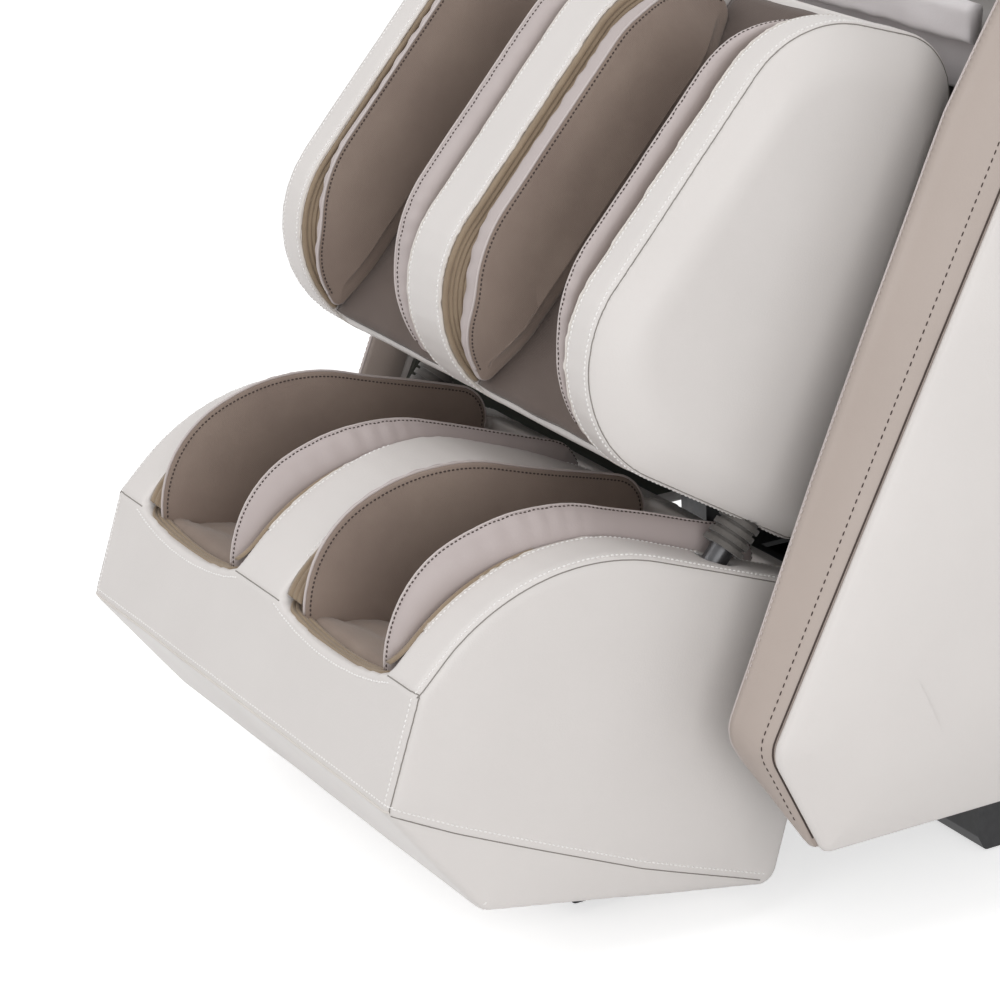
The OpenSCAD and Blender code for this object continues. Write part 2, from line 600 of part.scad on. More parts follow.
module base_frame() color(black) {
        both() {
            box([rail_out - rail_w, rail_front, foot_h], [rail_out, rail_rear, rail_high]);
            box([post_out - post, front_post, rail_high - 2], [post_out, front_post + post, post_front_high]);
            box([post_out - post, rear_post, rail_high - 2], [post_out, rear_post + post, post_rear_high]);
            for (y = [front_post + 8, rear_post + 8])
                box([post_out - 2, y, outrigger_z], [gap_half, y + 24, outrigger_z + 24]);
            for (x = [wheel_x - wheel_w / 2 - 5, wheel_x + wheel_w / 2 + 1])
                slab([[rail_rear - 20, foot_h + 6, 0], [wheel[0] + 12, wheel[1] - 12, 8],
                    [wheel[0] + 12, wheel[1] + 12, 8], [rail_rear - 20, rail_high - 4, 0]], x, x + 4);
            x_bar(wheel, axle_r, wheel_x - wheel_w / 2 - 5, wheel_x + wheel_w / 2 + 5);
        }
        for (y = [rail_front + 10, 30, rail_rear - 40])
            box([-rail_out + 2, y, foot_h + 10], [rail_out - 2, y + 30, rail_high]);
        box([-post_out + 2, front_post + 8, leg_rod[1] - motor_r - 24],
            [post_out - 2, front_post + 32, leg_rod[1] - motor_r]);
        box([-post_out + 2, rear_post + 8, back_rod_z - motor_r - 24],
            [post_out - 2, rear_post + 32, back_rod_z - motor_r]);
}
module floor_pads() color(black) both() for (y = [rail_front + 25, rail_rear - 35])
    translate([rail_out - rail_w / 2, y, 0]) cylinder(r1 = 20, r2 = 22, h = foot_h);
skirt_outline = [[skirt_front + 6, 2, 4], [skirt_rear, 2, 2], [skirt_rear, skirt_h, 2], [skirt_front, skirt_h, 6],
    [skirt_front, 14, 4]];
module base_cover() color(black) difference() {
    slab(skirt_outline, -skirt_half, skirt_half);
    slab(inset(skirt_outline, skirt_t), -skirt_half + skirt_t, skirt_half - skirt_t);
    box([-skirt_half + skirt_t, skirt_front + 10, 0], [skirt_half - skirt_t, skirt_rear - skirt_t, 8]);
    both() {
        for (y = [front_post, rear_post])
            box([post_out - post - 1, y - 1, skirt_h - 10], [skirt_half - skirt_t, y + post + 1, skirt_h + 1]);
        box([wheel_x - 20, skirt_rear - 8, foot_h], [wheel_x + 20, skirt_rear + 1, rail_high + 2]);
    }
    box([-(post_out - post - 22), front_post + post, skirt_h - 10], [post_out - post - 22, 280, skirt_h + 1]);
}
module transport_wheel() difference() {
    union() {
        x_bar(wheel, wheel_r, wheel_x - wheel_w / 2 + 3, wheel_x + wheel_w / 2 - 3);
        x_bar(wheel, wheel_r - 3, wheel_x - wheel_w / 2 + 0.5, wheel_x + wheel_w / 2 - 0.5);
    }
    x_bar(wheel, axle_r + fit, wheel_x - wheel_w, wheel_x + wheel_w);
    for (x = [wheel_x - wheel_w / 2, wheel_x + wheel_w / 2 - 5]) difference() {
        x_bar(wheel, wheel_r - 8, x, x + 5);
        x_bar(wheel, axle_r + 5, x - 1, x + 6);
    }
}
module left_transport_wheel() color("gray") on_side(-1) transport_wheel();
module right_transport_wheel() color("gray") transport_wheel();

cover_high = 296;
module rear_cover() color(black) difference() {
    slab([[skirt_rear + seat_gap, skirt_h - 20, 0], [skirt_rear + 6, skirt_h - 20, 2],
        [skirt_rear + 6, cover_high, 4], [skirt_rear - 34, cover_high, 4], [skirt_rear - 34, cover_high - 4, 0],
        [skirt_rear + seat_gap, cover_high - 4, 0]], -post_out + 8, post_out - 8);
    for (i = [0:5]) box([-150, skirt_rear - 1, 140 + i * 18], [20, skirt_rear + 8, 147 + i * 18]);
}
inlet_x = 96;
inlet_z = 156;
switch_x = 152;
inlet_face = skirt_rear + 42;
module power_inlet() color("darkgray") difference() {
    soft_box([60, skirt_rear + 6 + seat_gap, 118], [180, inlet_face, 194], 4);
    x_bar(switch_pivot, switch_pin_r + fit, switch_x - 10.5, switch_x + 10.5);
    box([inlet_x - 14, inlet_face - 16, inlet_z - 10], [inlet_x + 14, inlet_face + 1, inlet_z + 10]);
    box([switch_x - 7.5, inlet_face - 18, inlet_z - 12], [switch_x + 7.5, inlet_face + 1, inlet_z + 12]);
}
module soft_box(low, high, r) hull() {
    box(low + [r, 0, r], high - [r, r, r]);
    box(low + [0, 0, 0], high - [0, r, 0]);
    box(low + [r, 0, r], high - [r, 0, r]);
}
switch_tilt = 8;
switch_pin_r = 2;
switch_pivot = [inlet_face - 6, inlet_z];
// Rocker on its pivot pin
module power_switch() color(black) {
    x_bar(switch_pivot, switch_pin_r, switch_x - 10, switch_x + 10);
    translate([0, switch_pivot[0], switch_pivot[1]]) rotate([switch_tilt, 0, 0])
        slab([[-8, -6, 2], [-8, 6, 2], [6.5, 10.5, 1.5], [4, 0, 0], [6.5, -10.5, 1.5]], switch_x - 7, switch_x + 7);
}
module air_pump() color("slategray") {
    box([-130, 20, rail_high + seat_gap], [50, 75, rail_high + 50]);
    for (x = [-95, 15]) translate([x, 47, rail_high + 49]) {
        cylinder(r = 25, h = 18);
        translate([0, 0, 18]) cylinder(r1 = 25, r2 = 16, h = 8);
        translate([0, 0, 25]) cylinder(r = 5, h = 12);
    }
}

// ---- Actuators ----
leg_pin = [leg_rod[0] + leg_arm * tan(half_swing), leg_rod[1]];
back_pin = [back_y + back_arm * tan(half_swing), back_rod_z];
// Tube with a gearbox in its middle and a mounting collar; the rod slides in its bore
module motor_body(y0, y1, collar, z) difference() {
    union() {
        translate([0, y0, z]) rotate([-90, 0, 0]) cylinder(r = 17, h = y1 - y0);
        translate([0, (y0 + y1) / 2 - 50, z]) rotate([-90, 0, 0]) cylinder(r = motor_r - 1, h = 100);
        translate([0, collar, z]) rotate([-90, 0, 0]) cylinder(r = motor_r, h = 32);
    }
    translate([0, y0 - 1, z]) rotate([-90, 0, 0]) cylinder(r = rod_shaft_r + fit, h = y1 - y0 + 2);
}
module leg_actuator() color("gray") motor_body(front_post, 80, front_post + 4, leg_rod[1]);
module leg_actuator_rod() color("silver") translate([0, leg_pin[0], leg_pin[1]]) fork_rod(262);
module back_actuator() color("gray") motor_body(rear_post - 255, rear_post + post, rear_post + 4, back_rod_z);
module back_actuator_rod() color("silver") translate([0, back_pin[0], back_pin[1]]) mirror([0, 1, 0]) fork_rod(300);

// ---- Seat ----
plate_t = 8;
knee_pin = [knee_hinge[0] - crease_y, knee_hinge[1] + crease_z];
seat_front = -197;
pan_front = [-184, 530];
pan_rear = 200;
function pan_z(y) = pan_front[1] - (y - pan_front[0]) * tan(seat_lean);
plate_front = -176;
side_plate = [[plate_front, knee_pin[1] - 42, 12], [back_y - 60, back_z - 58, 12], [back_y + 26, back_z - 30, 18],
    [back_y + 26, back_z + 26, 18], [plate_front, pan_z(plate_front) + 20, 14]];
arm_x = [arm_slot[0] + seat_gap, arm_slot[1] - seat_gap];
module seat_frame() color(black) {
    both() {
        slab(side_plate, post_out, post_out + plate_t);
        x_bar(knee_pin, pin_r, leg_half - 45, arm_x[1]);
        translate([0, knee_pin[0], knee_pin[1]]) {
            slab(hinge_arm, arm_x[0], arm_x[1]);
            slab([[92, -37, 3], [115, -38, 3], [115, -12, 3], [92, -11, 3]], arm_x[0], post_out + 1);
        }
        x_bar([back_y, back_z], pin_r, leg_half - 45, post_out + plate_t);
    }
    slab([[pan_front[0], pan_front[1] - 3, 0], [pan_rear, pan_z(pan_rear) - 3, 0], [pan_rear, pan_z(pan_rear), 0],
        [pan_front[0], pan_front[1], 0]], -post_out + 14, post_out - 14);
    for (y = [-168, 120]) x_bar([y, pan_z(y) - 14], 12, -post_out, post_out);
}
seat_rear = 203;
roll_low = 603;          // lower edge of the roll along the seat's front
seat_outline = [[pan_front[0], pan_front[1] + seat_gap, 6], [seat_rear - 16, pan_z(seat_rear - 16) + seat_gap, 10],
    [seat_rear, pan_z(seat_rear) + seat_t, 18], [seat_front, pan_z(seat_front) + seat_t + 6, 7],
    [seat_front, roll_low - 2, 4], [pan_front[0], roll_low - 8, 0]];
bolster = 78;            // width of each side bolster of the seat
// Padded leather roll along the seat's front edge
module seat_apron() color(white)
    soft_slab([[seat_front - 11, roll_low + 3, 5], [seat_front - seat_gap, roll_low, 4],
        [seat_front - seat_gap, roll_low + 26, 5], [seat_front - 11, roll_low + 22, 5]], -seat_half, seat_half, 3);
module seat_cushion() color("dimgray") {
    soft_slab(seat_outline, -seat_half + bolster, seat_half - bolster, 9);
    both() soft_slab(inset(seat_outline, 1), seat_half - bolster - 1, seat_half, 14);
}

// ---- Back: local X, Y behind the hinge line, Z along the back ----
rail_in = 122;
rail_t = 24;
rail_deep = 44;          // depth of the rails' rear face behind the hinge line
shell_front = 46;
shell_deep = 147;
pad_back = -56;          // rear face of the back pad, in front of the rollers
pad_front = -112;
carriage_z = 175;
rail_l = back_l - 50;
rail_foot = [[-14, -14, 10], [14, -14, 10], [rail_deep, 20, 4], [rail_deep, 70, 0], [8, 70, 0], [-14, 14, 10]];
module back_frame() color(steel) difference() {
    union() {
        at_back() {
            both() {
                box([rail_in, 8, 10], [rail_in + rail_t, rail_deep, rail_l]);
                slab(rail_foot, rail_in, rail_in + rail_t);
            }
            box([-rail_in - 2, 14, rail_l - 30], [rail_in + 2, 40, rail_l]);
        }
        x_bar([back_y, back_z], hinge_r, -post_out + 2, post_out - 2);
        slotted_lever([back_y, back_z], back_arm, 10);
    }
    at_back() both() box([rail_in - 1, 16, 60], [rail_in + 18, 36, rail_l - 40]);
    x_bar([back_y, back_z], pin_r + fit, -post_out, post_out);
}
shell_half = back_half + 4;
shell_outline = [[-shell_half, 46, 40], [shell_half, 46, 40], [shell_half, back_l - 180, 110],
    [back_half - 60, back_l, 90], [-back_half + 60, back_l, 90], [-shell_half, back_l - 180, 110]];
// A plate in the back's own X-Z plane between two depths
module back_plate_part(outline, t0, t1) translate([0, t1, 0]) rotate([90, 0, 0]) linear_extrude(t1 - t0)
    polygon(rounded(outline));
module back_shell() color(white) at_back() {
    difference() {
        hull() {
            back_plate_part(shell_outline, shell_front, 80);
            back_plate_part(inset(shell_outline, 45), shell_deep - 10, shell_deep);
        }
        hull() {
            back_plate_part(inset(shell_outline, 5), shell_front - 6, 78);
            back_plate_part(inset(shell_outline, 50), shell_deep - 14, shell_deep - 5);
        }
    }
    both() for (z = [280, 600]) box([rail_in, rail_deep, z], [rail_in + rail_t, shell_deep - 4, z + 30]);
}
pad_outline = [[-back_half + 2, 70, 30], [back_half - 2, 70, 30], [back_half + 2, back_l - 200, 110],
    [back_half - 64, back_l - 6, 80], [-back_half + 64, back_l - 6, 80], [-back_half - 2, back_l - 200, 110]];
module back_pad() color(brown) at_back() difference() {
    hull() {
        back_plate_part(pad_outline, pad_front + 16, 45.5);
        back_plate_part(inset(pad_outline, 30), pad_front, 0);
    }
    back_plate_part([[-154, 40, 0], [154, 40, 0], [154, rail_l + 14, 0], [-154, rail_l + 14, 0]], pad_back, 60);
    for (z = [200, 330, 460]) translate([0, pad_front, z]) rotate([0, 90, 0]) translate([0, 0, -back_half])
        cylinder(r = 5, h = 2 * back_half, $fn = 12);
}
pillow_half = 140;
pillow_low = back_l - 210;
pillow_high = back_l - 65;
pillow_outline = [[-pillow_half, pillow_low, 20], [pillow_half, pillow_low, 20],
    [pillow_half - 10, pillow_high, 20], [-pillow_half + 10, pillow_high, 20]];
module head_pillow() color(taupe) at_back() hull() {
    x_bar([pad_front - 26, pillow_low + 15], 22, -pillow_half + 20, pillow_half - 20);
    x_bar([pad_front - 24, pillow_high - 25], 20, -pillow_half + 30, pillow_half - 30);
    back_plate_part(pillow_outline, pad_front - 20, pad_front - seat_gap);
}
wing_low = back_l - 310;
wing_outline = [[-162, wing_low, 70], [78, wing_low, 50], [78, wing_low + 180, 60], [-60, wing_low + 252, 70],
    [-178, wing_low + 170, 60]];
module shoulder_wing() at_back() soft_slab(wing_outline, shell_half + seat_gap, shell_half + 48, 12);
module left_shoulder_wing() color(white) on_side(-1) shoulder_wing();
module right_shoulder_wing() color(white) shoulder_wing();

pivot = [2, carriage_z];
shaft_r = 7;
arm_in_x = 48;
arm_t = 12;
roller_w = 30;
roller_axle_r = 5;
roller_y = -22;          // depth of the roller axles
function roller_at(s) = [roller_y, carriage_z + s * roller_arm];
module roller_carriage() color(steel) at_back() {
    box([-rail_in + 1, 16.5, carriage_z - 45], [rail_in - 1, 35.5, carriage_z + 45]);
    both() box([rail_in - 2, 17, carriage_z - 40], [rail_in + 17, 35, carriage_z + 40]);
    box([-50, 35, carriage_z - 35], [50, 44, carriage_z + 35]);
    both() for (x = [32, 100]) slab([[pivot[0] - 10, pivot[1] - 10, 9], [18, pivot[1] - 14, 0],
        [18, pivot[1] + 14, 0], [pivot[0] - 10, pivot[1] + 10, 9]], x, x + 10);
    x_bar(pivot, shaft_r, -110, 110);
}
module massage_arm() at_back() {
    difference() {
        union() {
            slab([[roller_y - 10, carriage_z - roller_arm - 6, 8], [roller_y + 8, carriage_z - roller_arm - 9, 8],
                [pivot[0] + 12, carriage_z, 14], [roller_y + 8, carriage_z + roller_arm + 9, 8],
                [roller_y - 10, carriage_z + roller_arm + 6, 8], [pivot[0] - 18, carriage_z, 20]],
                arm_in_x, arm_in_x + arm_t);
            x_bar(pivot, shaft_r + 6, arm_in_x, arm_in_x + arm_t);
        }
        x_bar(pivot, shaft_r + fit, arm_in_x - 1, arm_in_x + arm_t + 1);
    }
    for (s = [-1, 1]) x_bar(roller_at(s), roller_axle_r, arm_in_x + 2, arm_in_x + arm_t + roller_w + 2);
}
module massage_roller(s) at_back() difference() {
    hull() {
        x_bar(roller_at(s), roller_r, arm_in_x + arm_t + 8, arm_in_x + arm_t + roller_w - 6);
        x_bar(roller_at(s), roller_r - 7, arm_in_x + arm_t + 1, arm_in_x + arm_t + roller_w + 1);
    }
    x_bar(roller_at(s), roller_axle_r + fit, arm_in_x, arm_in_x + arm_t + roller_w + 3);
}
module left_massage_arm() color("silver") on_side(-1) massage_arm();
module right_massage_arm() color("silver") massage_arm();
module left_upper_roller() color("beige") on_side(-1) massage_roller(1);
module left_lower_roller() color("beige") on_side(-1) massage_roller(-1);
module right_upper_roller() color("beige") massage_roller(1);
module right_lower_roller() color("beige") massage_roller(-1);

base_frame();
base_cover();
floor_pads();
left_side_cover();
right_side_cover();
left_front_band();
right_front_band();
left_inner_liner();
right_inner_liner();
left_arm_trough();
right_arm_trough();
left_arm_pad();
right_arm_pad();
rear_cover();
power_inlet();
power_switch();
air_pump();
keypad();
keypad_button_up();
keypad_button_down();
left_transport_wheel();
right_transport_wheel();
seat_frame();
seat_cushion();
seat_apron();
leg_actuator();
leg_actuator_rod();
back_actuator();
back_actuator_rod();
calf_frame();
calf_shell();
calf_linings();
slide_boots();
left_calf_outer_leaf();
left_calf_inner_leaf();
right_calf_inner_leaf();
right_calf_outer_leaf();
foot_frame();
foot_shell();
foot_soles();
foot_glides();
left_sole_rollers();
right_sole_rollers();
left_foot_outer_leaf();
left_foot_inner_leaf();
right_foot_inner_leaf();
right_foot_outer_leaf();
back_frame();
back_shell();
back_pad();
head_pillow();
left_shoulder_wing();
right_shoulder_wing();
roller_carriage();
left_massage_arm();
right_massage_arm();
left_upper_roller();
left_lower_roller();
right_upper_roller();
right_lower_roller();
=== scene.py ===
"""Looks of a massage chair: leather-covered leg rest, side panels, seat, back and its visible mechanism."""

import logging
import math
from collections.abc import Callable, Iterable, Sequence
from dataclasses import dataclass, field
from enum import Enum
from typing import ClassVar

import bmesh
import bpy
import numpy as np
from mathutils import Matrix, Vector, kdtree, noise
from mathutils.bvhtree import BVHTree

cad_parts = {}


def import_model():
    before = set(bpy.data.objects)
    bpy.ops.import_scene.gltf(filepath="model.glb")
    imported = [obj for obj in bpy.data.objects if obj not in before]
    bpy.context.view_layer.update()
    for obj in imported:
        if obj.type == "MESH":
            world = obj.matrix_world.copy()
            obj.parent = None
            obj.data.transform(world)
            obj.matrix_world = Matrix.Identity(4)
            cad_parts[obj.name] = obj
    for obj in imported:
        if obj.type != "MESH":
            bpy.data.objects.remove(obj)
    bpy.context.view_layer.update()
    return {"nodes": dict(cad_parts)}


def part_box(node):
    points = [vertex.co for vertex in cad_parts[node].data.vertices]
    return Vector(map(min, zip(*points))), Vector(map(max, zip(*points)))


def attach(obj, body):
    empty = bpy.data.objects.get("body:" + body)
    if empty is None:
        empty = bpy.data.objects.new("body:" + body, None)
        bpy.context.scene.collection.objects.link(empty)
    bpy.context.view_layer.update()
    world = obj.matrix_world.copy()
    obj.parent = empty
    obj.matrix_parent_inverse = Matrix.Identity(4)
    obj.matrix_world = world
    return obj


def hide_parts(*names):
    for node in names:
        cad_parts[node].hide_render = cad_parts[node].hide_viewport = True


log = logging.getLogger("chair")

MM = 0.001
SIDES = ((-1, "left"), (1, "right"))
Corner = tuple[float, float, float]
Points = np.ndarray
Piece = bpy.types.Object
Tree = bpy.types.NodeTree
Socket = bpy.types.NodeSocket


# ---------------------------------------------------------------- plane outlines
def unit(v: Points) -> Points:
    """The vector with length 1."""
    return v / max(float(np.linalg.norm(v)), 1e-12)


def units(rows: Points) -> Points:
    """Each row with length 1."""
    return rows / np.maximum(np.linalg.norm(rows, axis=1, keepdims=True), 1e-9)


def run_along(path: Points) -> Points:
    """Length of the path from its start to each of its points."""
    return np.concatenate([[0], np.cumsum(np.linalg.norm(np.diff(path, axis=0), axis=1))])


def circle(count: int) -> tuple[Points, Points]:
    """Cosine and sine of even turns round a circle, one row each."""
    turn = np.linspace(0, 2 * math.pi, count, endpoint=False)[:, None]
    return np.cos(turn), np.sin(turn)


def rounded(corners: Sequence[Corner], steps: int = 10) -> Points:
    """An outline with each of its corners turned into an arc.

    Args:
        corners: y, z and radius of each corner, in millimetres, counter-clockwise seen from +X.
        steps: Straight steps in each arc.

    Returns:
        The outline's points, one row each.
    """
    made: list[Points] = []
    for i, (y, z, r) in enumerate(corners):
        at = np.array([y, z])
        u = unit(np.array(corners[i - 1][:2]) - at)
        v = unit(np.array(corners[(i + 1) % len(corners)][:2]) - at)
        if r <= 0:
            made.append(at)
            continue
        half = math.acos(float(np.clip(u @ v, -1, 1))) / 2
        middle = at + unit(u + v) * r / math.sin(half)
        first, last = at + u * r / math.tan(half) - middle, at + v * r / math.tan(half) - middle
        start = math.atan2(first[1], first[0])
        turn = (math.atan2(last[1], last[0]) - start + math.pi) % (2 * math.pi) - math.pi
        for k in range(steps + 1):
            angle = start + turn * k / steps
            made.append(middle + r * np.array([math.cos(angle), math.sin(angle)]))
    return np.array(made)


def inset(corners: Sequence[Corner], depth: float) -> list[Corner]:
    """The same outline with each edge moved inward.

    Args:
        corners: The outline's corners.
        depth: How far its edges move, in millimetres.

    Returns:
        The corners of the smaller outline.
    """
    made: list[Corner] = []
    for i, (y, z, r) in enumerate(corners):
        at = np.array([y, z])
        u = unit(at - np.array(corners[i - 1][:2]))
        v = unit(np.array(corners[(i + 1) % len(corners)][:2]) - at)
        p, q = at + depth * np.array([-u[1], u[0]]), at + depth * np.array([-v[1], v[0]])
        gap = q - p
        m = p + u * (gap[0] * v[1] - gap[1] * v[0]) / (u[0] * v[1] - u[1] * v[0])
        made.append((float(m[0]), float(m[1]), 0.0 if r <= 0 else max(r - depth, 1.0)))
    return made


def refined(rings: list[Points], step: float) -> list[Points]:
    """Rings of matching points with more points between them.

    Args:
        rings: Closed rings with the same number of points.
        step: Longest step along the first ring, in millimetres.

    Returns:
        The rings, each with the same number of added points.
    """
    first = rings[0]
    lengths = np.linalg.norm(np.roll(first, -1, 0) - first, axis=1)
    counts = np.maximum(1, np.ceil(lengths / step).astype(int))
    made = []
    for ring in rings:
        after = np.roll(ring, -1, 0)
        made.append(np.concatenate([
            a + (b - a) * np.linspace(0, 1, n, endpoint=False)[:, None]
            for a, b, n in zip(ring, after, counts)
        ]))
    return made


def walked(path: Points, step: float, closed: bool = False) -> Points:
    """The path in even steps.

    Args:
        path: Points of the path.
        step: About how long a step is, in millimetres.
        closed: Whether the path runs back to its start.

    Returns:
        Points along the path.
    """
    line = np.vstack([path, path[:1]]) if closed else path
    run = run_along(line)
    count = max(2, int(round(run[-1] / step)) + 1)
    at = np.linspace(0, run[-1], count)
    made = np.stack([np.interp(at, run, line[:, k]) for k in range(line.shape[1])], 1)
    return made[:-1] if closed else made


def on_plane(outline: Points, x: float) -> Points:
    """The y, z outline as points in space at one x."""
    return np.column_stack([np.full(len(outline), x), outline])


def stretch(outline: Points, start: Sequence[float], end: Sequence[float]) -> Points:
    """A part of a closed outline.

    Args:
        outline: The outline's points.
        start: A place near the point that the part begins with.
        end: A place near the point that it ends with.

    Returns:
        The outline's points from one to the other, onward.
    """
    i, j = (int(np.argmin(np.linalg.norm(outline - np.array(end), axis=1))) for end in (start, end))
    return outline[i : j + 1] if i <= j else np.vstack([outline[i:], outline[: j + 1]])


# ---------------------------------------------------------------- meshes
def shade_smooth(body: Piece) -> None:
    """Shades every face of the piece smoothly."""
    body.data.polygons.foreach_set("use_smooth", [True] * len(body.data.polygons))


def make_object(name: str, points: Points, faces: Iterable[Sequence[int]], smooth: bool = True) -> Piece:
    """A mesh object from points in millimetres.

    Args:
        name: The piece's name.
        points: One row for each vertex, in millimetres of the chair's frame.
        faces: Vertex numbers of each face.
        smooth: Whether the faces are shaded smoothly.

    Returns:
        The new object, linked to the scene.
    """
    mesh = bpy.data.meshes.new(name)
    mesh.from_pydata([tuple(p) for p in np.asarray(points, float) * MM], [], [tuple(f) for f in faces])
    mesh.validate()
    mesh.update()
    made = bpy.data.objects.new(name, mesh)
    if smooth:
        shade_smooth(made)
    bpy.context.scene.collection.objects.link(made)
    return made


def ring_faces(rings: int, n: int, first: int = 0) -> list[Sequence[int]]:
    """Faces between rings of points and over both ends.

    Args:
        rings: Number of rings.
        n: Points in each ring.
        first: Number of the first point.

    Returns:
        The points' numbers for each face.
    """
    faces: list[Sequence[int]] = []
    for a in range(first, first + (rings - 1) * n, n):
        faces += [(a + i, a + (i + 1) % n, a + n + (i + 1) % n, a + n + i) for i in range(n)]
    last = first + (rings - 1) * n
    return faces + [tuple(range(first, first + n))[::-1], tuple(range(last, last + n))]


def loft(name: str, rings: list[Points]) -> Piece:
    """A closed skin through rings of matching points, in order from its -X end to its +X end.

    Args:
        name: The piece's name.
        rings: Closed rings of points in space, with the same number of points.

    Returns:
        The new object.
    """
    return outward(make_object(name, np.vstack(rings), ring_faces(len(rings), len(rings[0]))))


def outward(body: Piece) -> Piece:
    """Turns the face normals of a closed piece outward.

    Args:
        body: The piece.

    Returns:
        The same piece.
    """
    work = bmesh.new()
    work.from_mesh(body.data)
    bmesh.ops.recalc_face_normals(work, faces=work.faces)
    work.to_mesh(body.data)
    work.free()
    return body


def slab(name: str, outline: Points, low: float, high: float) -> Piece:
    """A plain slab of the outline between two x positions, for cutting."""
    return loft(name, [on_plane(outline, low), on_plane(outline, high)])


def bar(name: str, centre: Points, axis: Points, radius: float, length: float) -> Piece:
    """A round bar, for cutting.

    Args:
        name: The piece's name.
        centre: Its middle, in millimetres.
        axis: Direction of its length, of length 1.
        radius: Its radius.
        length: Its length.

    Returns:
        The new object.
    """
    side = unit(np.cross(axis, [0.3, 0.5, 0.8]))
    cos, sin = circle(32)
    ring = centre + radius * (cos * side + sin * np.cross(axis, side))
    return loft(name, [ring - axis * length / 2, ring + axis * length / 2])


def settle(body: Piece) -> Piece:
    """Applies the modifiers of a piece.

    Args:
        body: The piece.

    Returns:
        The same piece.
    """
    graph = bpy.context.evaluated_depsgraph_get()
    mesh = bpy.data.meshes.new_from_object(body.evaluated_get(graph))
    old = body.data
    body.modifiers.clear()
    body.data = mesh
    bpy.data.meshes.remove(old)
    return body


def carve(body: Piece, cutters: Sequence[Piece]) -> Piece:
    """Cuts forms out of a piece.

    Args:
        body: The piece.
        cutters: Closed forms, which are removed afterwards.

    Returns:
        The same piece.
    """
    for cutter in cutters:
        step = body.modifiers.new("cut", "BOOLEAN")
        step.operation, step.solver, step.object = "DIFFERENCE", "EXACT", cutter
    settle(body)
    for cutter in cutters:
        bpy.data.objects.remove(cutter)
    return body


def soften(body: Piece, voxel: float, rounds: int) -> Piece:
    """The piece in even small faces with its edges rounded, as leather over foam.

    Args:
        body: The closed piece.
        voxel: Size of a face, in millimetres.
        rounds: Passes of smoothing.

    Returns:
        The same piece.
    """
    skin = body.modifiers.new("skin", "REMESH")
    skin.mode, skin.voxel_size, skin.use_smooth_shade = "VOXEL", voxel * MM, True
    ease = body.modifiers.new("ease", "SMOOTH")
    ease.factor, ease.iterations = 0.5, rounds
    return settle(body)


def read(items: bpy.types.bpy_prop_collection, name: str) -> Points:
    """Reads three numbers of each item of a mesh.

    Args:
        items: The mesh's items, such as its vertices.
        name: The property that holds the numbers.

    Returns:
        One row for each item.
    """
    made = np.zeros(len(items) * 3)
    items.foreach_get(name, made)
    return made.reshape(-1, 3)


def vertices(body: Piece) -> Points:
    """The piece's vertices in millimetres."""
    return read(body.data.vertices, "co") / MM


def set_vertices(body: Piece, points: Points) -> None:
    """Moves the piece's vertices to points in millimetres."""
    body.data.vertices.foreach_set("co", (points * MM).ravel())
    body.data.update()


def normals(body: Piece) -> Points:
    """The piece's vertex normals."""
    return read(body.data.vertex_normals, "vector")


def ripple(points: Points, size: float, height: float, seed: float) -> Points:
    """Slow ups and downs over the points.

    Args:
        points: Places in millimetres.
        size: Length of a wave, in millimetres.
        height: Height of a wave, in millimetres.
        seed: Shift of the pattern.

    Returns:
        One height for each point.
    """
    return np.array([height * noise.noise(Vector(p / size) + Vector((seed, 0, 0))) for p in points])


def uneven(body: Piece, size: float, height: float, seed: float = 0.0) -> None:
    """Gives the piece the slight unevenness of a stuffed skin."""
    points = vertices(body)
    set_vertices(body, points + normals(body) * ripple(points, size, height, seed)[:, None])


def press(body: Piece, paths: Sequence[Points], width: float, depth: float) -> None:
    """Presses a soft groove into the piece along paths, as thread pulls leather in.

    Args:
        body: The piece.
        paths: Lines in space near its surface, in millimetres.
        width: Half width of the groove.
        depth: Depth in its middle.
    """
    lines = np.vstack([walked(p, 1.5) for p in paths])
    tree = kdtree.KDTree(len(lines))
    for i, p in enumerate(lines):
        tree.insert(p, i)
    tree.balance()
    points, facing = vertices(body), normals(body)
    low, high = lines.min(0) - 3 * width, lines.max(0) + 3 * width
    near = np.all((points > low) & (points < high), axis=1).nonzero()[0]
    for i in near:
        gap = tree.find(points[i])[2]
        if gap < 3 * width:
            points[i] -= facing[i] * depth * math.exp(-((gap / width) ** 2))
    set_vertices(body, points)


class Surface:
    """The skin of a piece, for laying seams and stitches on it."""

    def __init__(self, body: Piece) -> None:
        """Reads the piece's mesh as it is now."""
        faces = [tuple(f.vertices) for f in body.data.polygons]
        self.tree = BVHTree.FromPolygons([tuple(p) for p in vertices(body)], faces)

    def lay(self, path: Points, lift: float = 0.0) -> tuple[Points, Points]:
        """Drops a path on the nearest skin.

        Args:
            path: Points in millimetres near the skin.
            lift: Height above the skin.

        Returns:
            The points on the skin, and the skin's normals there.
        """
        at, facing = [], []
        for p in path:
            spot, normal, _, _ = self.tree.find_nearest(tuple(p))
            at.append(np.array(spot) + lift * np.array(normal))
            facing.append(np.array(normal))
        return np.array(at), np.array(facing)

    def cast(self, path: Points, side: int) -> Points:
        """Throws a path on a side face, along x from outside.

        Args:
            path: Points in millimetres.
            side: -1 from the -X side, 1 from the +X side.

        Returns:
            The places that it meets.
        """
        made = []
        for p in path:
            spot = self.tree.ray_cast((side * 500.0, p[1], p[2]), (-float(side), 0.0, 0.0))[0]
            made.append(np.array(spot) if spot is not None else p)
        return np.array(made)


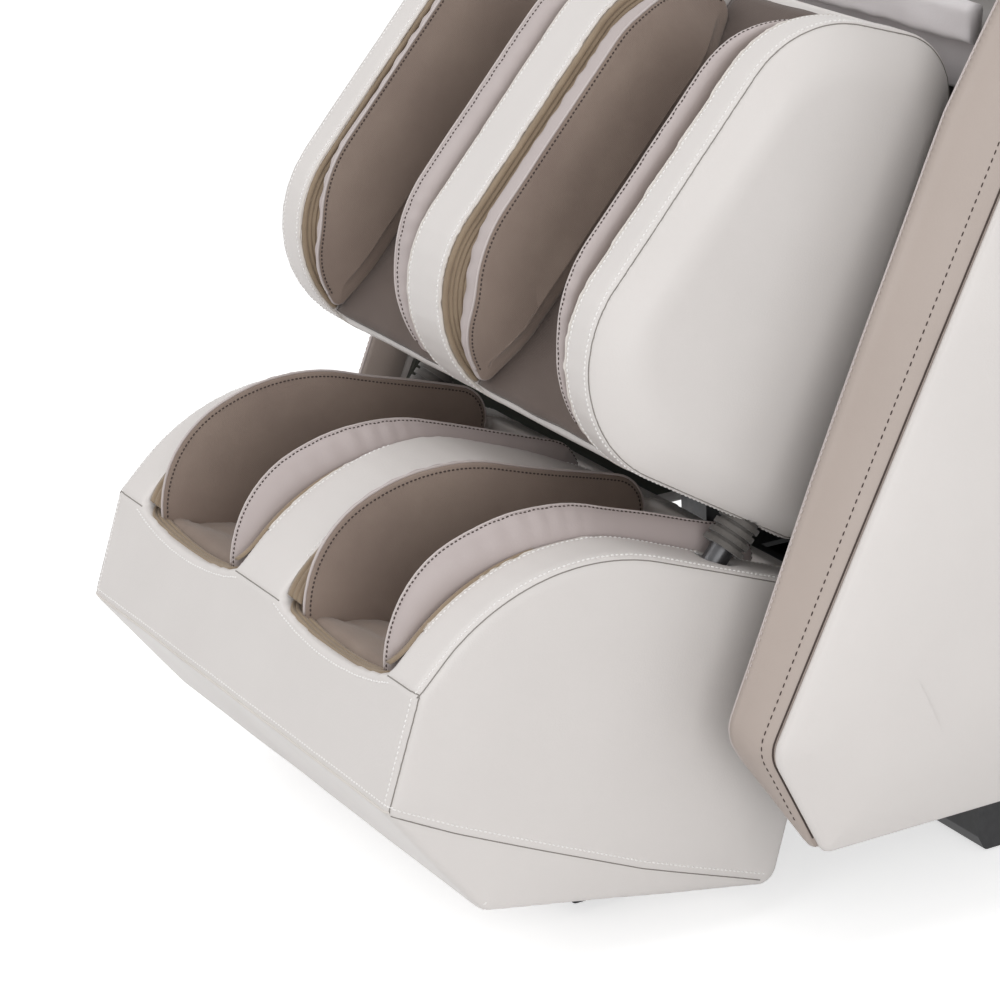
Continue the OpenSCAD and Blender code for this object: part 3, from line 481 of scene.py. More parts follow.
def tube(name: str, path: Points, radius: float, sides: int = 8) -> Piece:
    """A round cord along a path, turning as little as it can.

    Args:
        name: The piece's name.
        path: Its middle line, in millimetres.
        radius: Its radius.
        sides: Faces round it.

    Returns:
        The new object.
    """
    ahead = units(np.gradient(path, axis=0))
    side = np.zeros_like(path)
    side[0] = unit(np.cross(ahead[0], [0.31, 0.52, 0.79]))
    for i in range(1, len(path)):
        side[i] = unit(side[i - 1] - ahead[i] * (side[i - 1] @ ahead[i]))
    cos, sin = circle(sides)
    points = path[:, None] + radius * (cos * side[:, None] + sin * np.cross(ahead, side)[:, None])
    return make_object(name, points.reshape(-1, 3), ring_faces(len(path), sides))


@dataclass(frozen=True)
class Thread:
    """A sewing thread and how it is stitched, in millimetres."""

    pitch: float = 4.0
    length: float = 2.9
    radius: float = 0.5
    sink: float = 0.15

    def sew(self, name: str, rows: Sequence[Points], skin: Surface) -> Piece:
        """Lays rows of stitches on a skin.

        Args:
            name: The piece's name.
            rows: The rows' lines, in millimetres.
            skin: The skin that they lie on.

        Returns:
            All stitches as one object.
        """
        sides, profile = 6, ((-1.0, 0.35), (-0.78, 0.8), (-0.3, 1.0), (0.3, 1.0), (0.78, 0.8), (1.0, 0.35))
        cos, sin = circle(sides)
        points, faces = [], []
        for row in rows:
            line, facing = skin.lay(walked(row, self.pitch))
            ahead = np.gradient(line, axis=0)
            for p, a, n in zip(line, ahead, facing):
                a = unit(a - n * (a @ n))
                ring = cos * np.cross(n, a) + sin * n
                faces += ring_faces(len(profile), sides, len(points))
                for s, w in profile:
                    drop = self.radius * (0.9 * s * s + self.sink)
                    middle = p + a * s * self.length / 2 - n * (drop - 0.45 * self.radius)
                    points += list(middle + w * self.radius * ring)
        return make_object(name, np.array(points), faces)


# ---------------------------------------------------------------- finishes
def srgb(*channels: float) -> tuple[float, ...]:
    """A colour of 0 to 255 a channel as the linear colour that a shader takes."""
    linear = [c / 255 / 12.92 if c <= 10 else ((c / 255 + 0.055) / 1.055) ** 2.4 for c in channels]
    return (*linear, 1.0)


class Group(Enum):
    """The effects that several materials share."""

    GRAIN = "leather_grain"
    WEAVE = "cloth_weave"
    MOTTLE = "slow_mottle"
    WEAR = "edge_wear"
    MOULD = "moulded_texture"


class Effects:
    """Shader node groups of the shared effects, each built once."""

    def __init__(self) -> None:
        """Builds every group."""
        builders = (self.grain, self.weave, self.mottle, self.wear, self.mould)
        self.made: dict[Group, Tree] = {kind: build() for kind, build in zip(Group, builders)}

    @staticmethod
    def start(kind: Group, inputs: dict[str, float], outputs: Sequence[str]) -> Tree:
        """A group with its sockets, its two end nodes and its place on the piece.

        Args:
            kind: Which effect it is.
            inputs: Name and default of each number that it takes.
            outputs: Names of the values that it gives.

        Returns:
            The new group.
        """
        tree = bpy.data.node_groups.new(kind.value, "ShaderNodeTree")
        for name, value in inputs.items():
            taken = tree.interface.new_socket(name, in_out="INPUT", socket_type="NodeSocketFloat")
            taken.default_value = value
        for name in outputs:
            tree.interface.new_socket(name, in_out="OUTPUT", socket_type="NodeSocketFloat")
        ends = {"in": "NodeGroupInput", "out": "NodeGroupOutput", "place": "ShaderNodeTexCoord"}
        for label, node in ends.items():
            tree.nodes.new(node).name = label
        return tree

    @staticmethod
    def texture(tree: Tree, kind: str, scale: str | float, **values: float | str) -> bpy.types.Node:
        """A texture node on the piece's own coordinates.

        Args:
            tree: The group.
            kind: The node's type.
            scale: Name of the input that sets its scale, or the scale.
            values: Attributes and sockets of the node.

        Returns:
            The new node.
        """
        made = tree.nodes.new(kind)
        for key, value in values.items():
            if hasattr(made, key):
                setattr(made, key, value)
            else:
                made.inputs[key.replace("_", " ").title()].default_value = value
        tree.links.new(tree.nodes["place"].outputs["Object"], made.inputs["Vector"])
        if isinstance(scale, str):
            tree.links.new(tree.nodes["in"].outputs[scale], made.inputs["Scale"])
        else:
            made.inputs["Scale"].default_value = scale
        return made

    @staticmethod
    def math(tree: Tree, how: str, a: object, b: object = 0.0) -> Socket:
        """One arithmetic step.

        Args:
            tree: The node tree that it goes into.
            how: The operation.
            a: Its first socket or number.
            b: Its second one.

        Returns:
            The result's socket.
        """
        made = tree.nodes.new("ShaderNodeMath")
        made.operation = how
        for socket, value in zip(made.inputs, (a, b)):
            if isinstance(value, Socket):
                tree.links.new(value, socket)
            else:
                socket.default_value = value
        return made.outputs[0]

    @staticmethod
    def given(tree: Tree, **values: Socket) -> Tree:
        """Leads values out of a group.

        Args:
            tree: The group.
            values: The socket that feeds each output.

        Returns:
            The same group.
        """
        for name, value in values.items():
            tree.links.new(value, tree.nodes["out"].inputs[name])
        return tree

    def clamped(self, tree: Tree, value: Socket) -> Socket:
        """The value held between 0 and 1."""
        return self.math(tree, "MAXIMUM", self.math(tree, "MINIMUM", value, 1.0), 0.0)

    def grain(self) -> Tree:
        """Pebbled leather: small cells with creases between them, and pores.

        Returns:
            The group.
        """
        tree = self.start(Group.GRAIN, {"Scale": 700.0}, ("Height", "Pore"))
        cells = self.texture(tree, "ShaderNodeTexVoronoi", "Scale", feature="SMOOTH_F1", smoothness=0.6)
        fine = self.texture(tree, "ShaderNodeTexNoise", 1900.0, detail=2.0)
        broad = self.texture(tree, "ShaderNodeTexNoise", 260.0, detail=3.0)
        height = self.math(tree, "SUBTRACT", 1.0, cells.outputs["Distance"])
        height = self.math(tree, "ADD", height, self.math(tree, "MULTIPLY", fine.outputs["Fac"], 0.4))
        height = self.math(tree, "ADD", height, self.math(tree, "MULTIPLY", broad.outputs["Fac"], 0.7))
        return self.given(tree, Height=height, Pore=cells.outputs["Distance"])

    def weave(self) -> Tree:
        """Fine close cloth: crossing threads, a little uneven.

        Returns:
            The group.
        """
        tree = self.start(Group.WEAVE, {"Scale": 420.0}, ("Height", "Thread"))
        waves = []
        for direction in ("DIAGONAL", "Z"):
            wave = self.texture(tree, "ShaderNodeTexWave", "Scale", bands_direction=direction, distortion=1.5)
            waves.append(wave.outputs["Fac"])
        fuzz = self.texture(tree, "ShaderNodeTexNoise", 1500.0, detail=3.0)
        height = self.math(tree, "MAXIMUM", waves[0], waves[1])
        height = self.math(tree, "ADD", self.math(tree, "MULTIPLY", height, 0.5), fuzz.outputs["Fac"])
        return self.given(tree, Height=height, Thread=fuzz.outputs["Fac"])

    def mottle(self) -> Tree:
        """Slow, faint differences of tone, from handling and dye.

        Returns:
            The group.
        """
        tree = self.start(Group.MOTTLE, {"Scale": 9.0, "Contrast": 1.0}, ("Tone",))
        slow = self.texture(tree, "ShaderNodeTexNoise", "Scale", detail=4.0, roughness=0.6)
        tone = self.math(tree, "MULTIPLY", self.math(tree, "SUBTRACT", slow.outputs["Fac"], 0.5), 2.2)
        tone = self.math(tree, "MULTIPLY", tone, tree.nodes["in"].outputs["Contrast"])
        return self.given(tree, Tone=self.clamped(tree, self.math(tree, "ADD", tone, 0.5)))

    def wear(self) -> Tree:
        """Rubbed convex edges, broken up.

        Returns:
            The group.
        """
        tree = self.start(Group.WEAR, {"Amount": 1.0}, ("Mask",))
        shape = tree.nodes.new("ShaderNodeNewGeometry")
        speckle = self.texture(tree, "ShaderNodeTexNoise", 140.0, detail=4.0)
        convex = self.math(tree, "SUBTRACT", shape.outputs["Pointiness"], 0.505)
        edge = self.math(tree, "MULTIPLY", convex, 14.0)
        mask = self.math(tree, "MULTIPLY", edge, speckle.outputs["Fac"])
        mask = self.math(tree, "MULTIPLY", mask, tree.nodes["in"].outputs["Amount"])
        return self.given(tree, Mask=self.clamped(tree, mask))

    def mould(self) -> Tree:
        """Spark-eroded texture of a moulded or painted face.

        Returns:
            The group.
        """
        tree = self.start(Group.MOULD, {"Scale": 1100.0}, ("Height",))
        pits = self.texture(tree, "ShaderNodeTexNoise", "Scale", detail=3.0, roughness=0.7)
        return self.given(tree, Height=pits.outputs["Fac"])


@dataclass(frozen=True)
class Finish:
    """One surface finish: its colours, its relief and its gloss."""

    name: str
    colour: tuple[float, float, float]
    shade: tuple[float, float, float]
    roughness: float
    relief: Group
    relief_scale: float
    relief_height: float
    metallic: float = 0.0
    mottle_scale: float = 9.0
    mottle: float = 0.6
    sheen: float = 0.0
    coat: float = 0.0
    worn: tuple[float, float, float] | None = None

    def material(self, effects: Effects) -> bpy.types.Material:
        """Builds the finish as a material.

        Args:
            effects: The shared node groups.

        Returns:
            The material, made once for each name.
        """
        if self.name in bpy.data.materials and bpy.data.materials[self.name].get("dressed"):
            return bpy.data.materials[self.name]
        made = bpy.data.materials.new(self.name)
        made["dressed"] = True
        made.use_nodes = True
        tree = made.node_tree
        shader = tree.nodes["Principled BSDF"]
        tone = self.placed(tree, effects, Group.MOTTLE, Scale=self.mottle_scale, Contrast=self.mottle)
        colour = self.mixed(tree, tone.outputs["Tone"], srgb(*self.shade), srgb(*self.colour))
        if self.worn:
            rubbed = self.placed(tree, effects, Group.WEAR, Amount=0.8)
            colour = self.mixed(tree, rubbed.outputs["Mask"], colour, srgb(*self.worn))
        tree.links.new(colour, shader.inputs["Base Color"])
        relief = self.placed(tree, effects, self.relief, Scale=self.relief_scale)
        bump = tree.nodes.new("ShaderNodeBump")
        bump.inputs["Distance"].default_value = self.relief_height * MM
        bump.inputs["Strength"].default_value = 1.0
        tree.links.new(relief.outputs["Height"], bump.inputs["Height"])
        tree.links.new(bump.outputs["Normal"], shader.inputs["Normal"])
        gloss = Effects.math(tree, "MULTIPLY_ADD", tone.outputs["Tone"], -0.12)
        gloss.node.inputs[2].default_value = min(self.roughness + 0.06, 1.0)
        tree.links.new(gloss, shader.inputs["Roughness"])
        shader.inputs["Metallic"].default_value = self.metallic
        shader.inputs["Sheen Weight"].default_value = self.sheen
        shader.inputs["Sheen Roughness"].default_value = 0.45
        shader.inputs["Coat Weight"].default_value = self.coat
        return made

    @staticmethod
    def placed(tree: Tree, effects: Effects, kind: Group, **values: float) -> bpy.types.Node:
        """Places a shared group in a material.

        Args:
            tree: The material's node tree.
            effects: The shared groups.
            kind: Which of them it is.
            values: The values of its inputs here.

        Returns:
            The new node.
        """
        made = tree.nodes.new("ShaderNodeGroup")
        made.node_tree = effects.made[kind]
        for name, value in values.items():
            made.inputs[name].default_value = value
        return made

    @staticmethod
    def mixed(tree: Tree, factor: Socket, a: object, b: object) -> Socket:
        """Mixes two colours.

        Args:
            tree: The material's node tree.
            factor: 0 for the first colour, 1 for the second.
            a: The first colour or its socket.
            b: The second one.

        Returns:
            The mixed colour's socket.
        """
        made = tree.nodes.new("ShaderNodeMix")
        made.data_type = "RGBA"
        tree.links.new(factor, made.inputs[0])
        for socket, value in ((made.inputs[6], a), (made.inputs[7], b)):
            if isinstance(value, Socket):
                tree.links.new(value, socket)
            else:
                socket.default_value = value
        return made.outputs[2]


FINISHES: dict[str, Finish] = {f.name: f for f in (
    Finish("white_leather", (224, 219, 216), (218, 213, 210), 0.46, Group.GRAIN, 700, 0.05,
           sheen=0.05, coat=0.03),
    Finish("taupe_leather", (181, 168, 160), (175, 162, 154), 0.48, Group.GRAIN, 700, 0.06, sheen=0.05),
    Finish("mauve_leather", (190, 179, 177), (182, 170, 168), 0.5, Group.GRAIN, 760, 0.05, sheen=0.1),
    Finish("apron_leather", (216, 211, 212), (206, 201, 202), 0.48, Group.GRAIN, 700, 0.06, sheen=0.05),
    Finish("grey_leather", (112, 107, 104), (104, 99, 96), 0.5, Group.GRAIN, 700, 0.06),
    Finish("rod_steel", (84, 84, 86), (66, 66, 68), 0.38, Group.MOULD, 500, 0.015,
           metallic=0.8, worn=(120, 120, 122)),
    # Darker copy of brown_fabric for the channel linings: painted shade of the deep channel floor.
    Finish("lining_fabric", (104, 90, 83), (86, 74, 68), 0.88, Group.WEAVE, 420, 0.16,
           sheen=0.2, mottle_scale=14),
    Finish("brown_fabric", (156, 139, 127), (134, 117, 108), 0.85, Group.WEAVE, 420, 0.16,
           sheen=0.35, mottle_scale=14),
    Finish("sole_fabric", (152, 135, 123), (130, 114, 104), 0.85, Group.WEAVE, 420, 0.16,
           sheen=0.3, mottle_scale=18),
    Finish("gold_fabric", (158, 139, 116), (134, 116, 96), 0.75, Group.WEAVE, 520, 0.12,
           sheen=0.3, mottle_scale=40),
    Finish("liner_fabric", (78, 80, 72), (68, 70, 62), 0.9, Group.WEAVE, 380, 0.2, sheen=0.2),
    Finish("bellows_cloth", (110, 106, 102), (78, 75, 72), 0.7, Group.WEAVE, 500, 0.12,
           sheen=0.2, mottle_scale=60),
    Finish("white_piping", (226, 220, 214), (214, 208, 202), 0.45, Group.GRAIN, 900, 0.03),
    Finish("mauve_piping", (206, 196, 193), (192, 182, 180), 0.45, Group.GRAIN, 900, 0.03),
    Finish("seam_shadow", (146, 141, 136), (130, 125, 120), 0.7, Group.MOULD, 900, 0.02),
    Finish("brown_thread", (70, 57, 52), (60, 48, 43), 0.7, Group.MOULD, 1500, 0.05),
    Finish("white_thread", (246, 244, 242), (240, 238, 236), 0.6, Group.MOULD, 1500, 0.05),
    Finish("black_steel", (30, 31, 33), (24, 25, 27), 0.42, Group.MOULD, 700, 0.03, metallic=0.25, coat=0.1,
           worn=(96, 96, 98)),
    Finish("bare_steel", (172, 173, 176), (150, 151, 154), 0.3, Group.MOULD, 500, 0.015, metallic=0.95,
           worn=(205, 205, 208)),
    Finish("black_plastic", (26, 26, 28), (20, 20, 22), 0.45, Group.MOULD, 1100, 0.04, worn=(60, 60, 62)),
    Finish("grey_plastic", (120, 122, 126), (108, 110, 114), 0.5, Group.MOULD, 1100, 0.04,
           worn=(150, 151, 154)),
    Finish("roller_plastic", (206, 198, 182), (194, 186, 170), 0.42, Group.MOULD, 900, 0.03,
           worn=(222, 216, 204)),
    Finish("button_plastic", (214, 214, 212), (204, 204, 202), 0.35, Group.MOULD, 1200, 0.02,
           worn=(232, 232, 230)),
    Finish("rubber", (38, 38, 40), (30, 30, 32), 0.85, Group.MOULD, 800, 0.08, worn=(66, 66, 68)),
)}


class Wardrobe:
    """Gives pieces their finishes and bodies."""

    def __init__(self, effects: Effects) -> None:
        """Keeps the shared groups."""
        self.effects = effects

    def dress(self, piece: Piece, body: str, *finishes: str, node: str = "", slot: str = "",
              fill: float = 0.0) -> None:
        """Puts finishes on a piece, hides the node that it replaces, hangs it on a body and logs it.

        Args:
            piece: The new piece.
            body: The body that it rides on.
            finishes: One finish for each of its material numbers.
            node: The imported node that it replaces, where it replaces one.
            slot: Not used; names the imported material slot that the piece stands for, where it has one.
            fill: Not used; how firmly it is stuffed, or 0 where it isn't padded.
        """
        piece.data.materials.clear()
        for name in finishes:
            piece.data.materials.append(FINISHES[name].material(self.effects))
        if node:
            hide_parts(node)
        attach(piece, body)
        log.info("%s rides on %s: %d faces, %s", piece.name, body, len(piece.data.polygons), finishes)

    def dress_frame(self, nodes: dict[str, Piece]) -> None:
        """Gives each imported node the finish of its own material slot.

        Args:
            nodes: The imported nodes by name.
        """
        for name, node in nodes.items():
            for k, old in enumerate(node.data.materials):
                base = old.name.split(".")[0]
                if base in FINISHES:
                    node.material_slots[k].material = FINISHES[base].material(self.effects)
                    shade_smooth(node)
                else:
                    log.warning("%s has no finish for %s", name, old.name)
        for slot in nodes["foot_frame"].material_slots:
            if slot.material.name.startswith("bare_steel"):
                slot.material = FINISHES["rod_steel"].material(self.effects)
        for slot in nodes["slide_boots"].material_slots:
            slot.material = FINISHES["bellows_cloth"].material(self.effects)


# ---------------------------------------------------------------- leg rest
CREASE = np.array([0.0, -662.0, 235.0])    # front top crease of the foot unit, from the floor's middle
LEAN = math.radians(42)                    # how far the calf unit leans back
UP_LEG = np.array([math.sin(LEAN), math.cos(LEAN)])
INTO_LEG = np.array([math.cos(LEAN), -math.sin(LEAN)])
TOE = np.array([95.0, 171.0])              # lowest front corner of the calf unit, from the crease
LEG_HALF = 250.0                           # half width of the foot unit
SLIDE_DEPTH = 210.0                        # how deep in the calf unit the slide rods run
ROD_PLACE = 220.0                          # how far from the middle they run
BORE = 12.0                                # radius of the holes round them


def from_crease(points: Points) -> Points:
    """Points of the leg rest, counted from the crease, in the chair's frame."""
    return np.asarray(points, float) + CREASE


def calf_point(a: float, d: float) -> Points:
    """y and z of a place on the calf unit: a up along the leg, d back from its front edge."""
    return TOE + a * UP_LEG + d * INTO_LEG


def calf_corner(a: float, d: float, r: float) -> Corner:
    """The same place as the corner of an outline."""
    y, z = calf_point(a, d)
    return float(y), float(z), r


def rod_bores(along: float, length: float) -> list[Piece]:
    """Bars that cut the holes round both slide rods.

    Args:
        along: Place of the bars' middle along the leg.
        length: Length of the bars.

    Returns:
        The left and the right bar.
    """
    rod = calf_point(along, SLIDE_DEPTH)
    return [bar("bore", np.array([side * ROD_PLACE, *rod]), np.array([0, *UP_LEG]), BORE, length)
            for side in (-1, 1)]


def crowned_rings(corners: Sequence[Corner], low: float, high: float, edge: float, crown: float, reach: float,
                  step: float) -> list[Points]:
    """Rings of a padded slab: rounded rims and two crowned faces.

    Args:
        corners: The slab's outline.
        low: x of its -X face, without the crown.
        high: x of its +X face, without the crown.
        edge: Radius of its rims.
        crown: Height of each face's crown.
        reach: Distance from the rim at which the crown is full.
        step: Longest step along the outline.

    Returns:
        Rings in space, from the -X face to the +X face.
    """
    face = [(reach * s, crown * (1 - (1 - s) ** 2)) for s in (1.0, 0.8, 0.62, 0.46, 0.32, 0.2, 0.11)]
    turn = [math.radians(t) for t in (90, 72, 54, 36, 18, 0)]
    rim = [(edge * (1 - math.cos(t)), edge * (1 - math.sin(t))) for t in turn]
    first = [(edge + d, low - h) for d, h in face] + [(d, low + w) for d, w in rim]
    both = first + [(d, high + low - x) for d, x in reversed(first)]
    outlines = refined([rounded(corners)] + [drawn_in(corners, d) for d, _ in both], step)[1:]
    return [on_plane(o, x) for o, (_, x) in zip(outlines, both)]


def drawn_in(corners: Sequence[Corner], depth: float, straight: float = 12.0) -> Points:
    """An outline moved inward, evenly at first and then towards its middle, so that it can't cross itself.

    Args:
        corners: The outline's corners.
        depth: How far it moves, in millimetres.
        straight: How much of that is even.

    Returns:
        The smaller outline's points.
    """
    ring = rounded(inset(corners, min(depth, straight)))
    if depth <= straight:
        return ring
    middle = (ring.min(0) + ring.max(0)) / 2
    reach = np.linalg.norm(ring - middle, axis=1, keepdims=True)
    return ring + (middle - ring) * np.minimum((depth - straight) / np.maximum(reach, 1e-6), 0.9)


@dataclass
class Seams:
    """Lines of a leather body's seams and stitch rows, counted from the crease."""

    side: list[Points] = field(default_factory=list)
    dark: list[Points] = field(default_factory=list)
    ridge: list[Points] = field(default_factory=list)
    pale: list[Points] = field(default_factory=list)
    side_pale: list[Points] = field(default_factory=list)


@dataclass
class FootUnit:
    """The foot unit: leather body, two wells with soles, gussets and side leaves."""

    well_in: float = 36.5           # distance of a well's inner wall from the unit's middle
    well_out: float = 204.0         # distance of its outer wall
    nose: float = 28.0              # how far the front's lower edge stands in front of the crease
    front_height: float = 80.0
    crown: tuple[float, float, float] = (96.0, 91.0, 160.0)
    length: float = 345.0
    keel: float = 216.0             # depth of the lowest edge under the crease
    toe: tuple[float, float] = (4.0, -44.0)
    sole_lean: float = math.radians(26.5)
    sole_length: float = 275.0
    sole_thickness: float = 18.0
    toe_radius: float = 20.0
    rim_bow: float = 11.0
    leaf_crest: tuple[float, float] = (62.8, 182.5)
    leaf_drop: tuple[float, float] = (7.0, 2.0)
    outline: list[Corner] = field(init=False)
    heel: Points = field(init=False)

    def __post_init__(self) -> None:
        """Works out the outlines."""
        self.outline = [(-self.nose, -self.front_height, 5), (41, -172, 12),
                        (self.length - 69, -self.keel, 14), (self.length, -5, 20), self.crown, (0, 0, 4)]
        lean = np.array([math.cos(self.sole_lean), -math.sin(self.sole_lean)])
        self.heel = np.array(self.toe) + self.sole_length * lean

    def well(self, front: float) -> list[Corner]:
        """Outline of a foot well.

        Args:
            front: How far the front wall stands back, in millimetres.

        Returns:
            The outline's corners.
        """
        wall = self.toe[0] + front
        return [(wall, self.toe[1], 10), (*self.heel, 20), (self.length - 33, 20, 0),
                (self.length - 15, 200, 0), (wall, 200, 0)]

    def corner(self, gap: Points) -> Points:
        """How far the toe wall stands back at a distance from a side wall, for a round corner."""
        r = self.toe_radius
        return r - np.sqrt(np.maximum(r * r - np.maximum(r - gap, 0.0) ** 2, 0.0))

    def well_cutter(self, side: int) -> Piece:
        """The form of a foot well, with both corners at the toe rounded.

        Args:
            side: -1 for the left well, 1 for the right one.

        Returns:
            The closed form, for cutting.
        """
        gaps = np.array([0.0, 0.8, 2.2, 4.5, 8.0, 12.0, 16.0, self.toe_radius])
        places = np.concatenate([self.well_in + gaps, (self.well_out - gaps)[::-1]])
        fronts = self.corner(np.concatenate([gaps, gaps[::-1]]))
        rings = [on_plane(rounded(self.well(float(f))), side * x) for x, f in zip(places, fronts)]
        return loft("well", rings)

    def cavity(self) -> list[Corner]:
        """Outline of the hollow under the soles."""
        rear = self.heel[0] - 14
        return [(50, -84, 6), (62, -162, 8), (rear, -194, 8), (rear, self.heel[1] + 2, 0), (50, -60, 0)]

    @staticmethod
    def leaf_outline(drop: float) -> list[Corner]:
        """Outline of a side leaf whose crest is lowered by drop millimetres."""
        return inset([(9, -28, 10), (242, -149, 19), (304, 36 - drop, 29), (118, 97 - drop, 155),
                      (9, 54 - 0.6 * drop, 85)], 5.2)

    @staticmethod
    def valley(at: Points) -> Points:
        """Width left for the gusset beside a leaf: wide at the toe, none behind the crown."""
        return 9.0 * (1 - smooth((at[:, 0] - 30) / 110))

    def leather(self) -> Piece:
        """The white body with its wells, softened all round.

        Returns:
            The piece, counted from the crease.
        """
        rings = crowned_rings(self.outline, -LEG_HALF, LEG_HALF, edge=7, crown=5, reach=60, step=12)
        body = loft("foot_leather", rings)
        cutters = []
        for side in (-1, 1):
            cutters += [self.well_cutter(side), self.toe_scoop(side)]
        cutters.append(slab("cavity", rounded(self.cavity()), -(self.well_out - 7), self.well_out - 7))
        carve(body, cutters + rod_bores(20, 500))
        soften(body, voxel=3.0, rounds=5)
        set_vertices(body, self.humped(vertices(body)))
        return body

    def toe_scoop(self, side: int) -> Piece:
        """The shallow bow that dips the front rim of a well.

        Args:
            side: -1 for the left well, 1 for the right one.

        Returns:
            The closed form, for cutting.
        """
        middle, half = side * (self.well_in + self.well_out) / 2, (self.well_out - self.well_in) / 2
        across = np.linspace(-1, 1, 17)
        place, level = middle + half * across, np.zeros(17)
        top = np.column_stack([place, level, level + 60.0])
        bottom = np.column_stack([place, level, -self.bow(across) - 0.5])
        ring = np.vstack([bottom, top[::-1]])
        return loft("scoop", [ring + [0, -60, 0], ring + [0, 30, 0]])

    @staticmethod
    def humped(points: Points) -> Points:
        """Raises the rear of the top a little towards the middle of the unit.

        Args:
            points: Points of the leather.

        Returns:
            The same points, the rear ones raised.
        """
        made = points.copy()
        rear = np.clip((points[:, 1] - 60) / 130, 0, 1) * np.clip(points[:, 2] / 40, 0, 1)
        inward = 1 - np.clip((np.abs(points[:, 0]) - 20) / 225, 0, 1) ** 1.5
        made[:, 2] += 8 * rear * rear * (3 - 2 * rear) * inward
        return made

    def bow(self, across: Points) -> Points:
        """Drop of a well's front rim below the crease, for places from -1 to 1 across it."""
        return self.rim_bow * (1 - across**2)

    def seam_lines(self) -> Seams:
        """Lines of the seams and stitch rows.

        Returns:
            The lines by kind.
        """
        edge = rounded(self.outline, 24)
        lines = Seams()
        top = stretch(edge, (self.length - 3, 8), (1, 1))[::-1]
        low = np.array([[4 - self.nose, -self.front_height - 2], [20, -104], [165, -170], [264, -208]])
        keel = rounded([(-self.nose, -self.front_height, 5), (41, -172, 12), (60, -178, 3)], 12)
        rim = stretch(edge, (self.length - 3, 8), (4, 4))[::-1]
        ridge = walked(rim[rim[:, 0] > self.toe_radius + 3], 3)
        half = (self.well_out - self.well_in) / 2
        across = np.linspace(-1, 1, 30)
        bowed = np.column_stack([(half + 4) * across, np.full(30, -3.5),
                                 -5 - self.bow(across) + 1.5 * across**6])
        for s in (-1, 1):
            x = s * LEG_HALF
            lines.side += [on_plane(walked(top + [0, -3.5], 3), x), on_plane(walked(low, 3), x)]
            lines.dark.append(np.array([[x - s * 1.2, 1.0, -1.5],
                                        [x - s * 1.2, -self.nose, -self.front_height]]))
            lines.side_pale.append(on_plane(walked(low + [2, 5], 4), x))
            lines.pale.append(np.array([[x - s * 8, -2.0, -5.0],
                                        [x - s * 8, -self.nose, -self.front_height + 5]]))
            lines.pale += [on_plane(walked(keel[4:22], 3), x - s * 6), on_plane(walked(rim, 4), x - s * 6)]
            for w, k in ((self.well_in, -1), (self.well_out, 1)):
                lines.pale.append(on_plane(walked(rim[2:], 4), s * (w + k * 5)))
                lines.ridge.append(on_plane(ridge, s * (w + k * 0.6)))
            lines.pale.append(bowed + [s * (self.well_in + half), 0, 0])
        bottom = np.array([[x, -self.nose, -self.front_height] for x in (-LEG_HALF, LEG_HALF)])
        lines.ridge.append(bottom)
        lines.pale.append(bottom + [0, 1.5, 5.0])
        for a, b in ((-LEG_HALF, -self.well_out), (-self.well_in, self.well_in), (self.well_out, LEG_HALF)):
            lines.dark.append(np.array([[a, 0, 0], [b, 0, 0]]))
        return lines

    def build(self, wardrobe: Wardrobe) -> None:
        """Builds and dresses the whole unit.

        Args:
            wardrobe: Gives the finishes and hangs the pieces on their bodies.
        """
        sew_body(self.leather(), self.seam_lines(), "foot", "foot_shell", "foot_unit", wardrobe)
        self.build_soles(wardrobe)
        path = self.gusset_path()
        for side, name in SIDES:
            for place, (node, wall) in enumerate((("inner", self.well_in), ("outer", self.well_out))):
                out = 1 if node == "outer" else -1
                Leaf(f"{name}_foot_{node}_leaf", self.leaf_outline(self.leaf_drop[place]), side,
                     self.leaf_crest[place], out, wall, "foot_unit", Section.FOOT, self.pinch, self.valley,
                     base=0).build(wardrobe)
                Gusset(f"{name}_foot_gusset_{node}", path, side, wall, -out, "foot_unit",
                       reach=11.5, drop=6.0, pleats=3, tapered=True,
                       lead=self.corner(path[:, 0])).build(wardrobe)
            self.build_toe_gusset(wardrobe, side, name)

    def pinch(self, at: Points) -> Points:
        """How much of its width a leaf has at places along it, from 0 to 1."""
        return 1 - 0.45 * smooth((at[:, 0] - 190) / 90)

    def gusset_path(self) -> Points:
        """The line that the gussets follow, from the toe to the crown.

        Returns:
            y and z of the line's points.
        """
        edge = rounded(self.outline, 24)
        path = walked(stretch(edge, (118, 88), (4, 4))[::-1], 3)
        return path[path[:, 0] > 3]

